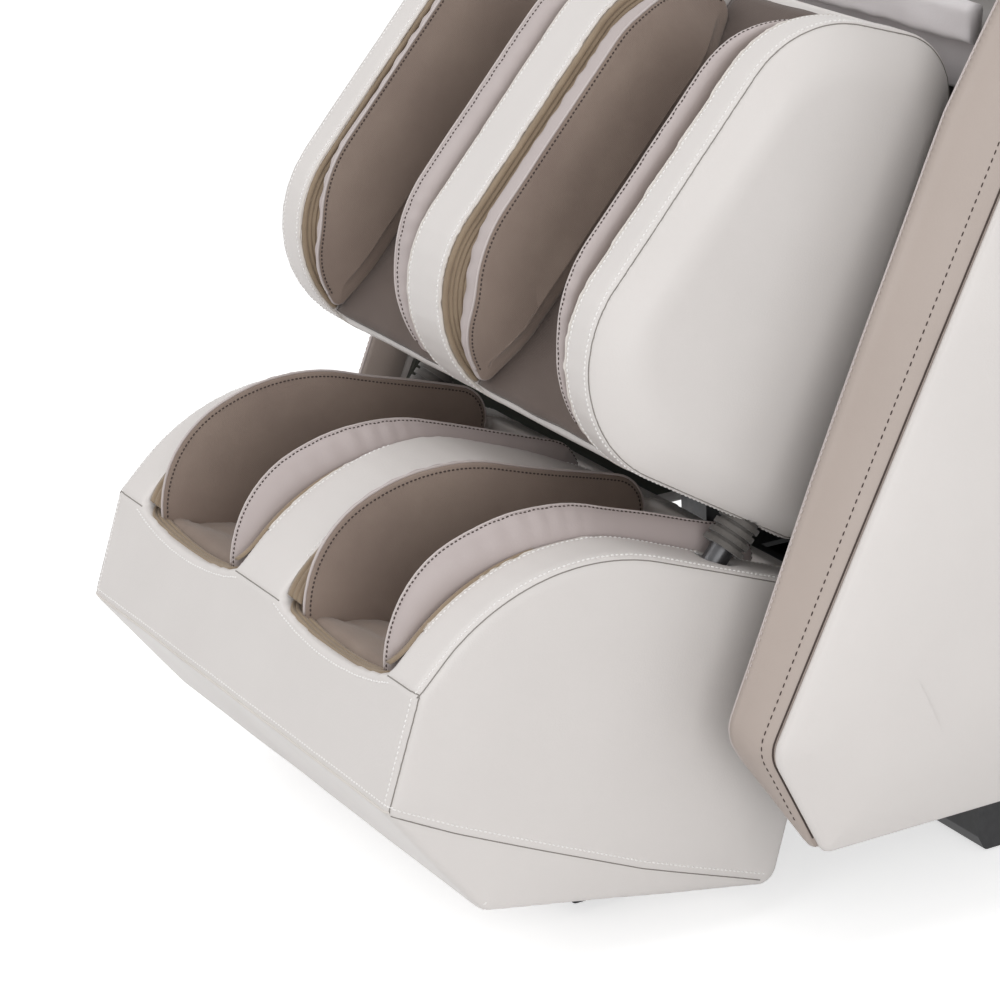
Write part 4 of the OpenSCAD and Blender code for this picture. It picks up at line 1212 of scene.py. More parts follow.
    def build_soles(self, wardrobe: Wardrobe) -> None:
        """Both sole pads, crowned, with a fold across the toe.

        Args:
            wardrobe: Gives the finish and hangs the pads on the body.
        """
        toe, heel = np.array(self.toe), self.heel
        along = unit(heel - toe)
        up = np.array([-along[1], along[0]])
        for side, name in SIDES:
            low, high = self.well_in + 1, self.well_out - 1
            u, v = np.meshgrid(np.linspace(0, 1, 76), np.linspace(0, 1, 40), indexing="ij")
            run = u * (self.sole_length - 4)
            edge = np.minimum((1 - u) * self.sole_length, np.minimum(v, 1 - v) * (high - low))
            dome = self.sole_thickness - 3 + 7 * (1 - np.exp(-edge / 12))
            dome = dome + 27 * (1 - smooth((run - 60) / 110))
            dome = dome - 2.5 * np.exp(-(((run - 34 + 22 * np.abs(2 * v - 1) ** 2) / 3.5) ** 2))
            p = toe + along * 1.5 + run[..., None] * along + dome[..., None] * up
            front = np.clip(run / 40, 0, 1)
            ledge = -5.5 - self.bow(2 * v - 1)
            start = 14.5 + 8 * np.abs(2 * v - 1) ** 8
            p[..., 0] = np.where(front < 1, start + (p[..., 0] - start) * front, p[..., 0])
            p[..., 1] += (ledge - p[..., 1]) * (1 - front) ** 2.6
            q = toe + along * 1.5 + run[..., None] * along + 1.0 * up
            pad = grid_solid(f"{name}_sole_pad", side * (low + (high - low) * v), p, q)
            uneven(pad, size=26, height=1.2, seed=side * 5.0)
            wardrobe.dress(pad, "foot_unit", "sole_fabric", node="foot_soles" if side > 0 else "",
                           slot="sole_fabric", fill=0.6)

    def build_toe_gusset(self, wardrobe: Wardrobe, side: int, name: str) -> None:
        """The pleated cloth between the toe rim of a well and the sole.

        Args:
            wardrobe: Gives the finishes and hangs the pieces on the body.
            side: -1 for the left well, 1 for the right one.
            name: The side's name.
        """
        middle, half = side * (self.well_in + self.well_out) / 2, (self.well_out - self.well_in) / 2 - 0.5
        across = np.linspace(-1, 1, 81)
        rows = []
        for k in range(19):
            t = k / 18
            pleat = 1.3 * abs(math.sin(t * math.pi * 3)) ** 0.6
            z = -1.0 - self.bow(across) - 4.0 * t + pleat - 4 * max(0.0, 1 - t * 9)
            y = 1.6 + 13.5 * t + self.corner(half * (1 - np.abs(across))) * (1 - 0.35 * t)
            rows.append(np.column_stack([middle + half * across, y, z]))
        points = from_crease(np.vstack(rows))
        sheet = thick_sheet(f"{name}_toe_gusset", points, 19, 81, 0.8)
        wardrobe.dress(sheet, "foot_unit", "gold_fabric")
        seam = from_crease(rows[-1][4:-4] + [0, -1.2, 0.4])
        thread = Thread(pitch=3.4, length=2.3, radius=0.45)
        wardrobe.dress(thread.sew(f"{name}_toe_stitches", [seam], Surface(sheet)), "foot_unit",
                       "brown_thread")


def smooth(t: Points) -> Points:
    """0 below 0, 1 above 1 and an even slope between them."""
    t = np.clip(t, 0, 1)
    return t * t * (3 - 2 * t)


def sew_body(body: Piece, lines: Seams, name: str, node: str, link: str,
             wardrobe: Wardrobe) -> None:
    """Presses the seams into a leather body, lays piping and thread in them and dresses it.

    Args:
        body: The leather body, counted from the crease.
        lines: Its seams and stitch rows by kind.
        name: The unit's name.
        node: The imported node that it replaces.
        link: The body of the frame that it rides on.
        wardrobe: Gives the finishes.
    """
    seams = lines.side + lines.dark + lines.ridge
    press(body, seams, width=2.0, depth=1.1)
    press(body, lines.pale + lines.side_pale, width=1.8, depth=0.7)
    set_vertices(body, from_crease(vertices(body)))
    uneven(body, size=80, height=0.7, seed=3.0)
    skin = Surface(body)
    wardrobe.dress(body, link, "white_leather", node=node, slot="white_leather")
    count = 0
    for kind, radius, finish in (("side", 0.45, "seam_shadow"), ("dark", 0.45, "seam_shadow"),
                                 ("ridge", 1.1, "white_piping")):
        for line in getattr(lines, kind):
            path = from_crease(walked(line, 3))
            path = skin.cast(path, 1 if path[0][0] > 0 else -1) if kind == "side" else skin.lay(path, 0.1)[0]
            wardrobe.dress(tube(f"{name}_seam_{count:02d}", path, radius), link, finish)
            count += 1
    rows = [from_crease(p) for p in lines.pale]
    rows += [skin.cast(from_crease(walked(p, 2)), 1 if p[0][0] > 0 else -1) for p in lines.side_pale]
    thread = Thread(pitch=3.8, length=2.8, radius=0.62)
    wardrobe.dress(thread.sew(f"{name}_pale_stitches", rows, skin), link, "white_thread")


def grid_solid(name: str, x: Points, top: Points, under: Points) -> Piece:
    """A closed pad of the leg rest between two grids of points.

    Args:
        name: The piece's name.
        x: The grids' x, row by row.
        top: The upper grid's y and z, counted from the crease.
        under: The lower grid's y and z.

    Returns:
        The new object.
    """
    rows, columns = x.shape
    n = rows * columns
    faces: list[Sequence[int]] = []
    for i in range(rows - 1):
        for j in range(columns - 1):
            a = i * columns + j
            faces.append((a, a + 1, a + columns + 1, a + columns))
            faces.append((n + a, n + a + columns, n + a + columns + 1, n + a + 1))
    ring = list(range(columns))
    ring += [i * columns + columns - 1 for i in range(1, rows)]
    ring += [(rows - 1) * columns + j for j in range(columns - 2, -1, -1)]
    ring += [i * columns for i in range(rows - 2, 0, -1)]
    faces += [(ring[k], n + ring[k], n + ring[(k + 1) % len(ring)], ring[(k + 1) % len(ring)])
              for k in range(len(ring))]
    points = [np.dstack([x, grid]).reshape(-1, 3) for grid in (top, under)]
    return outward(make_object(name, from_crease(np.vstack(points)), faces))


def thick_sheet(name: str, points: Points, rows: int, columns: int, thickness: float) -> Piece:
    """A sheet of cloth or leather with a real thickness, from one grid of points.

    Args:
        name: The piece's name.
        points: The grid, row by row.
        rows: Rows in the grid.
        columns: Points in each row.
        thickness: The sheet's thickness, in millimetres.

    Returns:
        The new object.
    """
    faces = [(i * columns + j, i * columns + j + 1, (i + 1) * columns + j + 1, (i + 1) * columns + j)
             for i in range(rows - 1) for j in range(columns - 1)]
    sheet = make_object(name, points, faces)
    step = sheet.modifiers.new("thick", "SOLIDIFY")
    step.thickness, step.offset = thickness * MM, 0.0
    return settle(sheet)


class Section(Enum):
    """Leather side of a leaf: depth under its crest and share of the way to the wall, at each step."""

    FOOT = ((-5.2, 0.16), (-5.6, 0.24), (-5.0, 0.36), (-2.2, 0.55),
            (2.4, 0.75), (9.0, 0.9), (18.0, 0.96), (30.0, 0.98))
    CALF = ((0.0, 0.08), (-0.7, 0.2), (-1.0, 0.4), (-0.3, 0.65),
            (1.6, 0.86), (5.0, 0.97), (12.0, 1.02), (34.0, 1.06))


@dataclass
class Leaf:
    """A padded side leaf: cloth face, crest with piping, and a leather back that falls towards the wall."""

    name: str
    outline: list[Corner]
    side: int                              # -1 for the left half of the unit, 1 for the right half
    crest: float                           # distance of the crest from the unit's middle
    out: int                               # 1 where the leather faces away from the unit's middle, or -1
    wall: float                            # distance of the wall from the unit's middle
    body: str
    section: Section
    pinch: Callable[[Points], Points]      # share of its width at places along it
    valley: Callable[[Points], Points]     # width left for the gusset there
    base: int                              # number of the outline's corner where its base begins
    crown: float = 6.0
    # Depth under the crest, and share of the crown there, on the cloth face
    FACE: ClassVar = ((60.0, -1.0), (42.0, -0.97), (28.0, -0.86), (18.0, -0.68), (11.0, -0.46), (6.5, -0.27),
                      (3.0, -0.1))

    def rings(self) -> tuple[list[Points], int]:
        """The leaf's rings, from the middle of the cloth face over the crest to the back.

        Returns:
            The rings, counted from the crease, and the number of the ring at the seam.
        """
        width = abs(self.wall - self.crest)
        lift, start = self.section.value[0]
        cloth = [(d + lift * 0.6, self.crown * w) for d, w in self.FACE]
        cloth += [(lift + 1.6, start * width * 0.15), (lift + 0.4, start * width * 0.5)]
        leather = [(d, w * width) for d, w in self.section.value]
        profile = cloth + leather
        flat = refined([rounded(self.outline)] + [drawn_in(self.outline, d) for d, _ in profile], 4.0)[1:]
        made = []
        for ring, (_, w) in zip(flat, profile):
            w = w - np.maximum(w, 0) / width * self.valley(ring)
            share = width - (width - w) * self.pinch(ring)
            made.append(np.column_stack([self.side * (self.crest + self.out * share), ring]))
        return made, len(cloth)

    def build(self, wardrobe: Wardrobe) -> None:
        """Builds and dresses the leaf.

        Args:
            wardrobe: Gives the finishes and hangs the pieces on the body.
        """
        rings, seam = self.rings()
        piece = loft(self.name + "_pad", [from_crease(r) for r in rings])
        count = len(rings[0])
        indices = np.array([0 if max(f.vertices) // count <= seam else 1 for f in piece.data.polygons])
        self.gather(piece, rings, seam)
        wardrobe.dress(piece, self.body, "brown_fabric", "mauve_leather", node=self.name,
                       slot="brown_fabric", fill=0.7)
        piece.data.polygons.foreach_set("material_index", indices)
        points = vertices(piece).reshape(-1, count, 3)
        away = units((points[seam] - points[seam].mean(0)) * [0, 1, 1])
        crest = self.free_run(points[seam] + 0.35 * away, points[seam])
        cord = tube(self.name + "_piping", walked(crest, 2.5), 1.0)
        wardrobe.dress(cord, self.body, "mauve_piping")
        skin = Surface(piece)
        rows = [points[seam - 3] * 0.5 + points[seam - 2] * 0.5]
        if self.side * self.out > 0:
            rows.append(points[seam + 1] * 0.4 + points[seam + 2] * 0.6)
        rows = [self.free_run(r, points[seam]) for r in rows]
        stitches = Thread(pitch=3.4, length=2.4, radius=0.62).sew(self.name + "_stitches", rows, skin)
        wardrobe.dress(stitches, self.body, "brown_thread")

    def free_run(self, line: Points, ring: Points) -> Points:
        """The part of a line beside the ring that isn't on the leaf's base.

        Args:
            line: Points that match the ring's.
            ring: The crest's ring, in the chair's frame.

        Returns:
            The points from one end of the base round to the other.
        """
        start, end = (np.array(self.outline[k][:2]) for k in (self.base, self.base + 1))
        along = unit(end - start)
        free = (ring[:, 1:] - CREASE[1:] - start) @ np.array([-along[1], along[0]]) > 12
        first = int(np.argmax(free & ~np.roll(free, 1)))
        return np.roll(line, -first, 0)[: int(np.sum(free))]

    def gather(self, piece: Piece, rings: list[Points], seam: int) -> None:
        """Puckers the leather beside the seam and makes the whole leaf slightly uneven.

        Args:
            piece: The leaf.
            rings: Its rings.
            seam: Number of the ring at the seam.
        """
        points, facing = vertices(piece), normals(piece)
        count = len(rings[0])
        ring = np.arange(len(points)) // count
        phase = run_along(rings[seam])[np.arange(len(points)) % count]
        near = np.exp(-(((ring - seam - 3.2) / 1.7) ** 2))
        wave = np.sin(phase / 2.6 + 1.5 * np.sin(phase / 19)) * (0.5 + 0.5 * np.sin(phase / 31))
        points += facing * (0.7 * near * wave)[:, None]
        set_vertices(piece, points)
        uneven(piece, size=40, height=0.7, seed=self.crest / 10)


@dataclass
class Gusset:
    """Pleated cloth that lines a leather wall and closes the valley to the leaf beside it."""

    name: str
    path: Points
    side: int                      # -1 for the left half of the unit, 1 for the right half
    wall: float                    # distance of the wall from the unit's middle
    toward: int                    # 1 where the cloth runs away from the unit's middle, or -1
    body: str
    reach: float                   # how far the cloth runs from the wall
    drop: float                    # how far it dips
    pleats: int
    tapered: bool = False          # whether it narrows along the path and hugs the wall
    lead: Points | float = 0.0     # how far the wall itself stands in from its plane along the path

    def build(self, wardrobe: Wardrobe) -> None:
        """Builds the pleats along the path.

        Args:
            wardrobe: Gives the finish and hangs the piece on the body.
        """
        ahead = units(np.gradient(self.path, axis=0))
        inward = np.column_stack([-ahead[:, 1], ahead[:, 0]])
        if np.sum(inward * (self.path.mean(0) + [60, -60] - self.path)) < 0:
            inward = -inward
        steps = self.pleats * 6 + 1
        fade = 1 - 0.75 * np.linspace(0, 1, len(self.path)) if self.tapered else np.ones(len(self.path))
        rows = []
        for k in range(steps):
            t = k / (steps - 1)
            ridge = abs(math.sin(t * math.pi * self.pleats)) ** 0.7
            if self.tapered:
                depth, away = 1.2 + self.drop * t**1.2 - 1.2 * ridge, 0.4 + self.reach * t
            else:
                depth, away = 2.4 + self.drop * t**0.8, 0.4 + self.reach * t**1.8 + 1.7 * ridge
            away = away * fade + self.lead - (2.2 if k == 0 else 0.0)
            x = self.side * (self.wall + self.toward * away)
            rows.append(np.column_stack([x, self.path + inward * depth]))
        points = from_crease(np.vstack(rows))
        sheet = thick_sheet(self.name, points, steps, len(self.path), 0.8)
        wardrobe.dress(sheet, self.body, "gold_fabric")


@dataclass
class CalfUnit:
    """The calf unit: leather body, two channels with lining, gussets and side leaves."""

    divider_half: float = 26.5
    wall_in: float = 201.0
    length: float = 326.0
    knee: tuple[float, float] = (386.0, 137.0)
    ankle: tuple[float, float] = (49.0, 262.0)
    channel_depth: float = 100.0
    lining_thickness: float = 14.0
    leaf_crest: tuple[float, float] = (63.0, 179.0)
    leaf_depth: tuple[float, float] = (7.0, 4.0)
    rim: float = 5.5
    face: float = 235.0
    outline: list[Corner] = field(init=False)

    def __post_init__(self) -> None:
        """Works out the outline."""
        self.outline = [calf_corner(-3.5, self.rim, 92),
                        calf_corner(self.ankle[0] - 5, self.ankle[1] + 6, 25),
                        calf_corner(self.knee[0] + 3, self.knee[1] + 4, 50),
                        calf_corner(self.length + 3, self.rim, 84)]

    def leaf_outline(self, crest: float) -> list[Corner]:
        """Outline of a side leaf.

        Args:
            crest: Depth of its crest behind the unit's front edge.

        Returns:
            The outline's corners.
        """
        deep = self.channel_depth - self.lining_thickness - 1
        return [calf_corner(95, crest, 100), calf_corner(33, 47, 70), calf_corner(18, deep, 6),
                calf_corner(352, deep, 14), calf_corner(self.length - 5, crest, 78)]

    @staticmethod
    def valley(at: Points) -> Points:
        """Width left for the gusset between a leaf and its wall."""
        return np.full(len(at), 13.0)

    def pinch(self, at: Points) -> Points:
        """How much of its width a leaf has at places along it, from 0 to 1."""
        up = (at - TOE) @ UP_LEG
        return 1 - 0.5 * smooth((70 - up) / 60) - 0.5 * smooth((up - 290) / 60)

    def leather(self) -> Piece:
        """The white body with its channels, softened all round.

        Returns:
            The piece, counted from the crease.
        """
        rings = crowned_rings(self.outline, -self.face, self.face, edge=3, crown=17, reach=38, step=12)
        body = loft("calf_leather", rings)
        cutters = []
        channel = [calf_corner(-200, -60, 0), calf_corner(-200, self.channel_depth, 0),
                   calf_corner(520, self.channel_depth, 0), calf_corner(520, -60, 0)]
        floor = self.channel_depth + 8
        cavity = [calf_corner(14 + floor * self.ankle[0] / self.ankle[1], floor, 6), calf_corner(90, 400, 0),
                  calf_corner(352, 400, 0), calf_corner(352, floor, 6)]
        for side, bore in zip((-1, 1), rod_bores(40, 200)):
            low, high = sorted((side * self.divider_half, side * self.wall_in))
            cutters += [slab("channel", rounded(channel), low, high), bore]
        cutters.append(slab("cavity", rounded(cavity), -self.face + 9, self.face - 9))
        hinge = calf_point(300, 133)
        cutters.append(bar("hinge", np.array([0, *hinge]), np.array([1.0, 0, 0]), radius=18.5, length=488))
        carve(body, cutters)
        soften(body, voxel=3.0, rounds=2)
        return body

    def seam_lines(self) -> Seams:
        """Lines of the seams and stitch rows.

        Returns:
            The lines by kind.
        """
        lines = Seams()
        edge = rounded(self.outline, 24)
        front = stretch(edge, calf_point(self.length + 40, 70), calf_point(30, 180))
        for s in (-1, 1):
            ring = walked(rounded(inset(self.outline, 2.0), 24), 3, True)
            lines.side.append(on_plane(np.vstack([ring, ring[:1]]), s * self.face))
            lines.pale.append(on_plane(walked(front, 4), s * (self.face - 6)))
            for w, k in ((self.divider_half, -1), (self.wall_in, 1)):
                lines.pale.append(on_plane(walked(front, 4), s * (w + k * 5)))
                lines.ridge.append(on_plane(walked(front, 3), s * (w + k * 0.6)))
        return lines

    def build(self, wardrobe: Wardrobe) -> None:
        """Builds and dresses the whole unit.

        Args:
            wardrobe: Gives the finishes and hangs the pieces on their bodies.
        """
        sew_body(self.leather(), self.seam_lines(), "calf", "calf_shell", "leg_rest", wardrobe)
        edge = rounded(self.outline, 24)
        front = walked(stretch(edge, calf_point(self.length + 30, 60), calf_point(12, 84)), 3)
        for side, name in SIDES:
            self.build_lining(wardrobe, side, name)
            for place, (node, wall) in enumerate((("inner", self.divider_half), ("outer", self.wall_in))):
                out = 1 if node == "outer" else -1
                Leaf(f"{name}_calf_{node}_leaf", self.leaf_outline(self.leaf_depth[place]), side,
                     self.leaf_crest[place], out, wall, "leg_rest", Section.CALF, self.pinch,
                     self.valley, base=2).build(wardrobe)
                Gusset(f"{name}_calf_gusset_{node}", front, side, wall, -out, "leg_rest",
                       reach=11.5, drop=14.0, pleats=5).build(wardrobe)

    def build_lining(self, wardrobe: Wardrobe, side: int, name: str) -> None:
        """The cloth-covered pad on the floor of a channel, in a darker copy of the brown fabric: painted
        shade of the deep channel floor.

        Args:
            wardrobe: Gives the finish and hangs the pad on the body.
            side: -1 for the left channel, 1 for the right one.
            name: The side's name.
        """
        low, high = self.divider_half + 3, self.wall_in - 3
        u, v = np.meshgrid(np.linspace(0, 1, 64), np.linspace(0, 1, 24), indexing="ij")
        a = 18 + u * 342
        edge = np.minimum(np.minimum(u, 1 - u) * 342, np.minimum(v, 1 - v) * (high - low))
        d = self.channel_depth - self.lining_thickness + 3 - 5 * (1 - np.exp(-edge / 16))
        p = TOE + a[..., None] * UP_LEG + d[..., None] * INTO_LEG
        q = TOE + a[..., None] * UP_LEG + (self.channel_depth - 1) * INTO_LEG
        pad = grid_solid(f"{name}_calf_lining", side * (low + (high - low) * v), p, q)
        uneven(pad, size=40, height=1.2, seed=side * 2.0)
        # The lining's darker finish is painted shade of the channel floor, on the same brown fabric.
        wardrobe.dress(pad, "leg_rest", "lining_fabric", node="calf_linings" if side > 0 else "",
                       slot="brown_fabric", fill=0.6)


# ---------------------------------------------------------------- side panels
@dataclass
class SidePanel:
    """One side panel: crowned white cover and taupe leather band round its front edge."""

    name: str
    side: int
    front_half: float = 340.0
    gap_half: float = 304.0
    rim_half: float = 346.0
    swell: float = 26.0
    swell_reach: float = 110.0
    # Height, and how far the band's inner edge stands in front of its outer edge there
    LEAD: ClassVar = ((88, -2), (110, 4), (145, 11), (178, 16), (240, 21), (330, 29), (440, 36), (560, 42),
                      (705, 30))
    nose: tuple[float, float] = (-446.0, 169.0)
    arm_front: tuple[float, float] = (-162.0, 705.0)

    def outline(self) -> list[Corner]:
        """Outline of the panel, y and z from the floor's middle."""
        return [(-407, 88, 10), (348, 88, 60), (423, 355, 150), (348, 655, 105), (*self.arm_front, 85),
                (*self.nose, 24)]

    def build(self, wardrobe: Wardrobe) -> None:
        """Builds and dresses the panel's cover and band."""
        self.build_cover(wardrobe)
        self.build_band(wardrobe)

    def build_cover(self, wardrobe: Wardrobe) -> None:
        """The white cover, crowned from its rim to its fullest width.

        Args:
            wardrobe: Gives the finish and hangs the cover on the body.
        """
        depths = [(self.swell_reach * s, self.rim_half + self.swell * (1 - (1 - s) ** 2))
                  for s in (0.03, 0.08, 0.15, 0.24, 0.35, 0.48, 0.62, 0.8, 1.0)]
        profile = [(20.0, self.gap_half + 5.0), (3.0, self.gap_half + 5.0), (0.8, self.gap_half + 8.0),
                   (0.8, self.front_half - 2.0), (2.6, self.front_half + 0.3), (0.5, self.front_half + 1.5),
                   (0.0, self.front_half + 3.5), (1.0, self.rim_half)] + depths
        flat = refined([drawn_in(self.outline(), d, 20.0) for d, _ in profile], 10)
        rings = [on_plane(p, self.side * x) for p, (_, x) in zip(flat, profile)]
        for k in range(4):
            rings[k][:, 1] = self.behind_band(rings[k][:, 1], rings[k][:, 2])
        for ring in rings[9:]:
            deep = np.clip(self.depth_in(ring[:, 1:]) / self.swell_reach, 0, 1)
            ring[:, 0] = self.side * (self.rim_half + self.swell * (1 - (1 - deep) ** 2))
        cover = loft(f"{self.name}_cover_skin", rings)
        trough = np.array([[-146, 566], [183, 566], [183, 800], [-146, 800]])
        carve(cover, [slab("trough", trough, self.side * 290, self.side * 353)])
        shade_smooth(cover)
        wardrobe.dress(cover, "chair", "white_leather", node=f"{self.name}_side_cover", slot="white_leather")

    def depth_in(self, at: Points) -> Points:
        """Distance of y, z points from the panel's outline, eased where two sides are as near.

        Args:
            at: y and z of the points.

        Returns:
            One distance for each point.
        """
        edge = walked(rounded(self.outline(), 24), 4.0, True)
        gaps = np.maximum(np.linalg.norm(at[:, None] - edge[None], axis=2), 0.01)
        return (math.pi / 8 / np.sum(gaps**-4.0, axis=1)) ** (1 / 3)

    def behind_band(self, y: Points, z: Points) -> Points:
        """Holds the inner part of the cover back from the band.

        Args:
            y: y of the points.
            z: Their z.

        Returns:
            Their new y.
        """
        lead = np.interp(z, [self.nose[1], self.arm_front[1]], [self.nose[0], self.arm_front[0]])
        floor = np.where(z < self.nose[1], -385.0, lead) + 17
        return np.maximum(y, floor)

    def edge_lines(self, count: int = 150) -> tuple[Points, Points]:
        """The band's outer and inner edges, from its lower tip up to the armrest.

        Args:
            count: Points in each edge.

        Returns:
            y and z of the outer edge's points and of the inner edge's.
        """
        ring = rounded(self.outline(), 24)
        outer = walked(stretch(ring, (self.arm_front[0] - 40, self.arm_front[1] - 60), (-407, 92))[::-1], 4)
        run = np.linspace(0, 1, count)
        grown = np.linspace(0, 1, len(outer))
        outer = np.stack([np.interp(run, grown, outer[:, k]) for k in (0, 1)], 1)
        slope = unit(np.array(self.arm_front) - np.array(self.nose))
        square = np.array([-slope[1], slope[0]])
        lead = np.interp(outer[:, 1], *np.array(self.LEAD).T)
        return outer, outer + lead[:, None] * square

    def build_band(self, wardrobe: Wardrobe) -> None:
        """The leather band: crowned front face, rounded inner edge, and its wrap on the inner side.

        Args:
            wardrobe: Gives the finishes and hangs the pieces on the body.
        """
        outer, inner = self.edge_lines()
        rings = []
        for o, i in zip(outer, inner):
            taper = float(np.clip((o[1] - 88) / 60, 0, 1)) ** 0.7
            low = self.front_half - (self.front_half - self.gap_half) * (0.35 + 0.65 * taper)
            width = self.front_half - low
            back = np.array([15.0, 0.0])
            wrap = np.array([8 + 32 * taper, 0.0])
            ring = [(self.front_half - 3, *(o + back)), (self.front_half - 0.2, *(o + back * 0.5)),
                    (self.front_half - 0.4, *(o + [2.0, 0])), (self.front_half - 2.5, *(o + [-0.2, 0]))]
            for s in (0.12, 0.25, 0.4, 0.55, 0.7, 0.82):
                p = o + (i - o) * s
                ring.append((self.front_half - width * s, p[0] - 3.2 * math.sin(s * math.pi), p[1]))
            ring += [(low + 3.5, *(i + [-0.6, 0])), (low + 1.0, *(i + [1.4, 0])), (low, *(i + [5.0, 0])),
                     (low, *(i + wrap * 0.5)), (low, *(i + wrap)), (low + 4, *(i + wrap)),
                     (low + 5, *(i + wrap * 0.5)), (low + 7, *(i + back * 0.9))]
            rings.append(np.array(ring) * [self.side, 1, 1])
        band = loft(f"{self.name}_band_leather", rings)
        uneven(band, size=60, height=0.5, seed=4.0)
        wardrobe.dress(band, "chair", "taupe_leather", node=f"{self.name}_front_band", slot="taupe_leather")
        skin = Surface(band)
        s = self.side
        across = 7.5 / (self.front_half - self.gap_half)
        near = np.array([[s * (self.front_half - 7.5), *(o + (i - o) * across - [2.0, 0])]
                         for o, i in zip(outer[6:-2], inner[6:-2])])
        far = np.array([[s * (self.gap_half + 5.5), i[0] - 2, i[1]] for i in inner[30:-2]])
        edge = np.array([[s * (self.front_half - 0.6), o[0] - 0.3, o[1]] for o in outer[2:]])
        lip = np.array([[s * (self.gap_half + 1.5), i[0] - 0.4, i[1]] for i in inner[8:-2]])
        for part, made, line, finish in (
            ("band_stitches", Thread(pitch=5.8, length=3.8, radius=0.5), near, "brown_thread"),
            ("band_seam", 0.7, edge, "brown_thread"),
            ("band_piping", 1.0, lip, "mauve_piping"),
            ("inner_stitches", Thread(pitch=4.6, length=3.2, radius=0.4), far, "mauve_piping"),
        ):
            name = f"{self.name}_{part}"
            sewn = isinstance(made, Thread)
            piece = made.sew(name, [line], skin) if sewn else tube(name, skin.lay(line, 0.1)[0], made)
            wardrobe.dress(piece, "chair", finish)


# ---------------------------------------------------------------- seat, back and armrests
@dataclass
class Cushion:
    """A stuffed piece grown from a plain outline in any plane."""

    body: str
    node: str
    finish: str
    fill: float
    voxel: float       # size of a face, in millimetres
    cap: float         # farthest that a point may move, in millimetres
    pressure: float    # pressure of the stuffing

    def swell(self, wardrobe: Wardrobe, piece: Piece) -> None:
        """Blows the piece up as cloth round its stuffing, then dresses it.

        Args:
            wardrobe: Gives the finish and hangs the piece on the body.
            piece: The closed piece, a little smaller than the cushion.
        """
        soften(piece, self.voxel, rounds=3)
        start = vertices(piece)
        cloth = piece.modifiers.new("stuffing", "CLOTH")
        cloth.settings.use_pressure = True
        cloth.settings.uniform_pressure_force = self.pressure
        cloth.settings.effector_weights.gravity = 0
        cloth.settings.quality = 4
        scene = bpy.context.scene
        for number in range(1, 17):
            scene.frame_set(number)
        settle(piece)
        scene.frame_set(1)
        moved = vertices(piece) - start
        length = np.linalg.norm(moved, axis=1, keepdims=True)
        held = self.cap * np.tanh(length / self.cap) / np.maximum(length, 1e-9)
        set_vertices(piece, start + moved * held)
        step = piece.modifiers.new("smooth", "SMOOTH")
        step.factor, step.iterations = 0.5, 3
        settle(piece)
        shade_smooth(piece)
        wardrobe.dress(piece, self.body, self.finish, node=self.node, slot=self.finish, fill=self.fill)


BACK_HINGE = (300.0, 430.0)    # y and z of the back's hinge line
BACK_LEAN = math.radians(20)


def on_back(points: Points) -> Points:
    """Points of the back in the chair's frame.

    Args:
        points: x, distance behind the hinge line, and height along the back.

    Returns:
        The same points as x, y and z.
    """
    x, t, h = np.asarray(points, float).T
    c, s = math.cos(BACK_LEAN), math.sin(BACK_LEAN)
    return np.column_stack([x, BACK_HINGE[0] + t * c + h * s, BACK_HINGE[1] - t * s + h * c])


def back_plate(outline: Points, depth: float) -> Points:
    """An x, s outline of the back at one depth."""
    return on_back(np.column_stack([outline[:, 0], np.full(len(outline), depth), outline[:, 1]]))


@dataclass
class Seat:
    """Seat cushion, the padded roll along its front, and the skirt behind the roll."""

    half: float = 243.0

    def outline(self) -> list[Corner]:
        """Outline of the seat cushion, y and z."""
        return [(-184, 530.5, 6), (187, 426.5, 10), (203, 506, 18), (-197, 622, 14), (-197, 601, 6),
                (-184, 595, 3)]

    def build(self, wardrobe: Wardrobe) -> None:
        """Builds and dresses the seat.

        Args:
            wardrobe: Gives the finishes and hangs the pieces on the body.
        """
        low, high = -self.half + 5, self.half - 5
        rings = crowned_rings(inset(self.outline(), 4), low, high, edge=12, crown=2, reach=24, step=14)
        pad = loft("seat_pad", rings)
        Cushion("chair", "seat_cushion", "grey_leather", fill=0.7, voxel=6.0, cap=5.0,
                pressure=3.0).swell(wardrobe, pad)
        roll = rounded([(-210, 604, 5), (-197.6, 601, 4), (-197.6, 632, 5), (-209, 630, 7)])
        strip = loft("seat_front_roll", [on_plane(walked(roll, 2, True), x)
                                         for x in np.linspace(-self.half, self.half, 60)])
        uneven(strip, size=26, height=2.4, seed=2.0)
        wardrobe.dress(strip, "chair", "apron_leather", node="seat_apron", slot="mauve_leather", fill=0.5)
        hem = rounded([(-190.5, 563, 1), (-187.5, 563, 1), (-187.5, 604, 1), (-190.5, 604, 1)], 3)
        skirt = loft("seat_front_skirt", [on_plane(walked(hem, 2, True) + [0.8 * math.sin(x / 17), 0], x)
                                          for x in np.linspace(-self.half, self.half, 120)])
        wardrobe.dress(skirt, "chair", "apron_leather", slot="mauve_leather")


